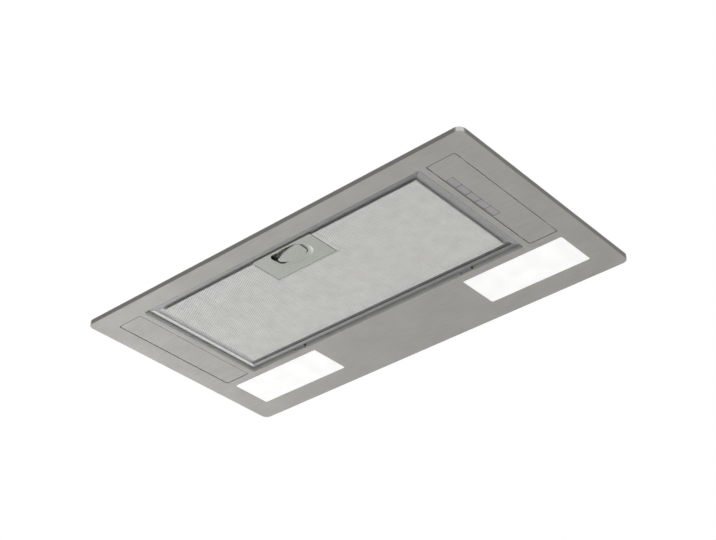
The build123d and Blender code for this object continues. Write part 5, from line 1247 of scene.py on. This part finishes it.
def make_screws(name):
    """All screws of a node, as copies of one screw for each size."""
    models = {}
    screws = []
    for points in loose_points(name):
        place, out, length, radius = screw_place(points)
        kind = (round(radius, 1), round(length, 1))
        if kind not in models:
            models[kind] = make_screw(radius, HEAD_HEIGHTS[name], length)
        screw = bpy.data.objects.new("screw_copy", models[kind].data.copy())
        bpy.context.collection.objects.link(screw)
        screw.rotation_mode = "QUATERNION"
        screw.rotation_quaternion = out.to_track_quat("Z", "Y")
        screw.location = place
        screws.append(screw)
    bpy.context.view_layer.update()
    for model in models.values():
        bpy.data.objects.remove(model)
    print(name, "screws", len(screws))
    return complete(join(screws, name + "_turned"), 40)


for name in HEAD_HEIGHTS:
    stand_in(make_screws(name), name)

# %% [markdown]
# ## Spring clips
#
# Four leaf springs of bent strip hold the hood in the cut-out: pushed in while the hood goes
# up, they spread over the cupboard's floor behind it.

# %% Spring clips
CLIP_SHEET = 0.8
CLIP_BEND = 1.2
CLIP_UPRIGHT = 20
CLIP_CREST = (9.4, 4.5)
CLIP_TIP = (1.6, 0.4)


def make_spring_clips():
    clips = []
    for points in loose_points("cabinet_spring_clips"):
        low, high = limits(points)
        side = 1 if low.x > 0 else -1
        line = [(0, high.z), (0, high.z - CLIP_UPRIGHT)]
        line += [(reach, low.z + rise) for reach, rise in (CLIP_CREST, CLIP_TIP)]
        clip = begin("clip")
        folded_strip([(side * (WALL_X + reach), low.y, z) for reach, z in line],
                     (0, high.y - low.y, 0), CLIP_BEND)
        flat = max((f for f in edit_mesh().faces if abs(f.normal.x) > 0.99),
                   key=lambda f: f.calc_center_median().z)
        if flat.normal.x * side > 0:
            bpy.ops.mesh.flip_normals()
        thicken(clip, CLIP_SHEET, even=True)
        clips.append(clip)
    springs = join(clips, "spring_clips")
    round_edges(springs, width=0.2, steps=2, over=50)
    return complete(springs)


stand_in(make_spring_clips(), "cabinet_spring_clips")

# %% [markdown]
# ## Duct outlet
#
# The spigot is moulded in black polypropylene. Gussets brace it against its flange, two shallow
# rings round it grip the duct's clamp, and ribs keep the two thin flaps from warping.

# %% Duct outlet
SPIGOT_RADIUS = 74.25
SPIGOT_CENTRE_Y = 45.0
COLLAR_FLANGE = 2.0
GUSSET_COUNT = 12
GUSSET_REACH = 7.0
GUSSET_HEIGHT = 8.0
GUSSET_THICKNESS = 1.6
GUSSET_TOE = 0.6
GUSSET_INTO_SPIGOT = 0.7
GUSSET_INTO_FLANGE = 0.4
RING_HEIGHTS = (196.0, 205.0)
RING_TUBE = 1.2
RING_DEPTH = 0.45
FLAP_TOP = 188.6
FLAP_RIB_HEIGHT = 1.0
FLAP_RIB_HALF = 0.6
FLAP_RIB_INTO_FLAP = 0.3
FLAP_RIB_REACH = (14.0, 66.0)
FLAP_RIB_ANGLES = (35, 65, 90, 115, 145)


def gusset():
    """A three-cornered plate that stands on the flange and leans on the spigot."""
    tool = begin("gusset")
    near = SPIGOT_RADIUS - GUSSET_INTO_SPIGOT
    far = SPIGOT_RADIUS + GUSSET_REACH
    outline = ((near, -GUSSET_INTO_FLANGE), (far, -GUSSET_INTO_FLANGE), (far, GUSSET_TOE),
               (near, GUSSET_HEIGHT))
    trace([(x, -GUSSET_THICKNESS / 2, z) for x, z in outline])
    pick_all()
    bpy.ops.mesh.edge_face_add()
    pull((0, GUSSET_THICKNESS, 0))
    agree()
    return tool


def make_collar():
    collar = soften("outlet_collar", 0.4)
    for i in range(GUSSET_COUNT):
        tool = gusset()
        place_tool(tool, (0, SPIGOT_CENTRE_Y, LID_Z + COLLAR_FLANGE),
                   (0, 0, 360 * i / GUSSET_COUNT))
        combine(collar, tool, "UNION")
    for z in RING_HEIGHTS:
        bpy.ops.object.select_all(action="DESELECT")
        bpy.ops.mesh.primitive_torus_add(major_radius=SPIGOT_RADIUS + RING_TUBE - RING_DEPTH,
                                         minor_radius=RING_TUBE, major_segments=96,
                                         minor_segments=12, location=(0, 0, 0))
        tool = bpy.context.object
        place_tool(tool, (0, SPIGOT_CENTRE_Y, z), (0, 0, 0))
        cut(collar, tool)
    smooth(collar)
    return collar


def make_flap(name):
    """A flap with low ribs that fan out from its hinge."""
    flap = soften(name, 0.2)
    low, high = mm_box(name)
    side = 1 if (low.y + high.y) / 2 > SPIGOT_CENTRE_Y else -1
    for angle in FLAP_RIB_ANGLES:
        tool = box_cutter(*FLAP_RIB_REACH, -FLAP_RIB_HALF, FLAP_RIB_HALF,
                          -FLAP_RIB_INTO_FLAP, FLAP_RIB_HEIGHT)
        place_tool(tool, (0, SPIGOT_CENTRE_Y, FLAP_TOP), (0, 0, side * angle))
        combine(flap, tool, "UNION")
    smooth(flap)
    return flap


stand_in(make_collar(), "outlet_collar")
for name in ("damper_flap_front", "damper_flap_rear"):
    stand_in(make_flap(name), name)

# %% [markdown]
# ## All other pieces
#
# These keep the shape that they have in the construction model. Stamped sheet, wire and rivets
# get edges of 0.1 to 0.2 mm, and mouldings and drawn housings get up to 0.5 mm, as their tools
# leave them.

# %% Softened pieces
SOFT_EDGES = {
    0.15: ("left_light_lens", "right_light_lens", "filter_hooks", "wheel_nut", "motor_shaft",
           "flap_pin", "left_led_board", "right_led_board", "motor_bearings", "latch_springs"),
    0.1: ("fan_wheel",),
    0.2: ("filter_rivets", "left_partition", "right_partition", "panel_nuts", "capacitor_clip",
          "motor_rotor", "motor_stator"),
    0.25: ("button_1", "button_2", "button_3", "button_4", "button_5", "cable_grommets"),
    0.3: ("filter_media", "terminal_box", "terminal_box_cover", "led_driver", "switch_block",
          "motor_bracket", "left_light_housing", "right_light_housing", "terminal_block"),
    0.4: ("left_end_cover", "right_end_cover", "scroll_left", "scroll_right", "cable_gland"),
    0.5: ("motor_housing", "motor_end_cover", "motor_capacitor"),
}
for width, names in SOFT_EDGES.items():
    for name in names:
        stand_in(soften(name, width), name)
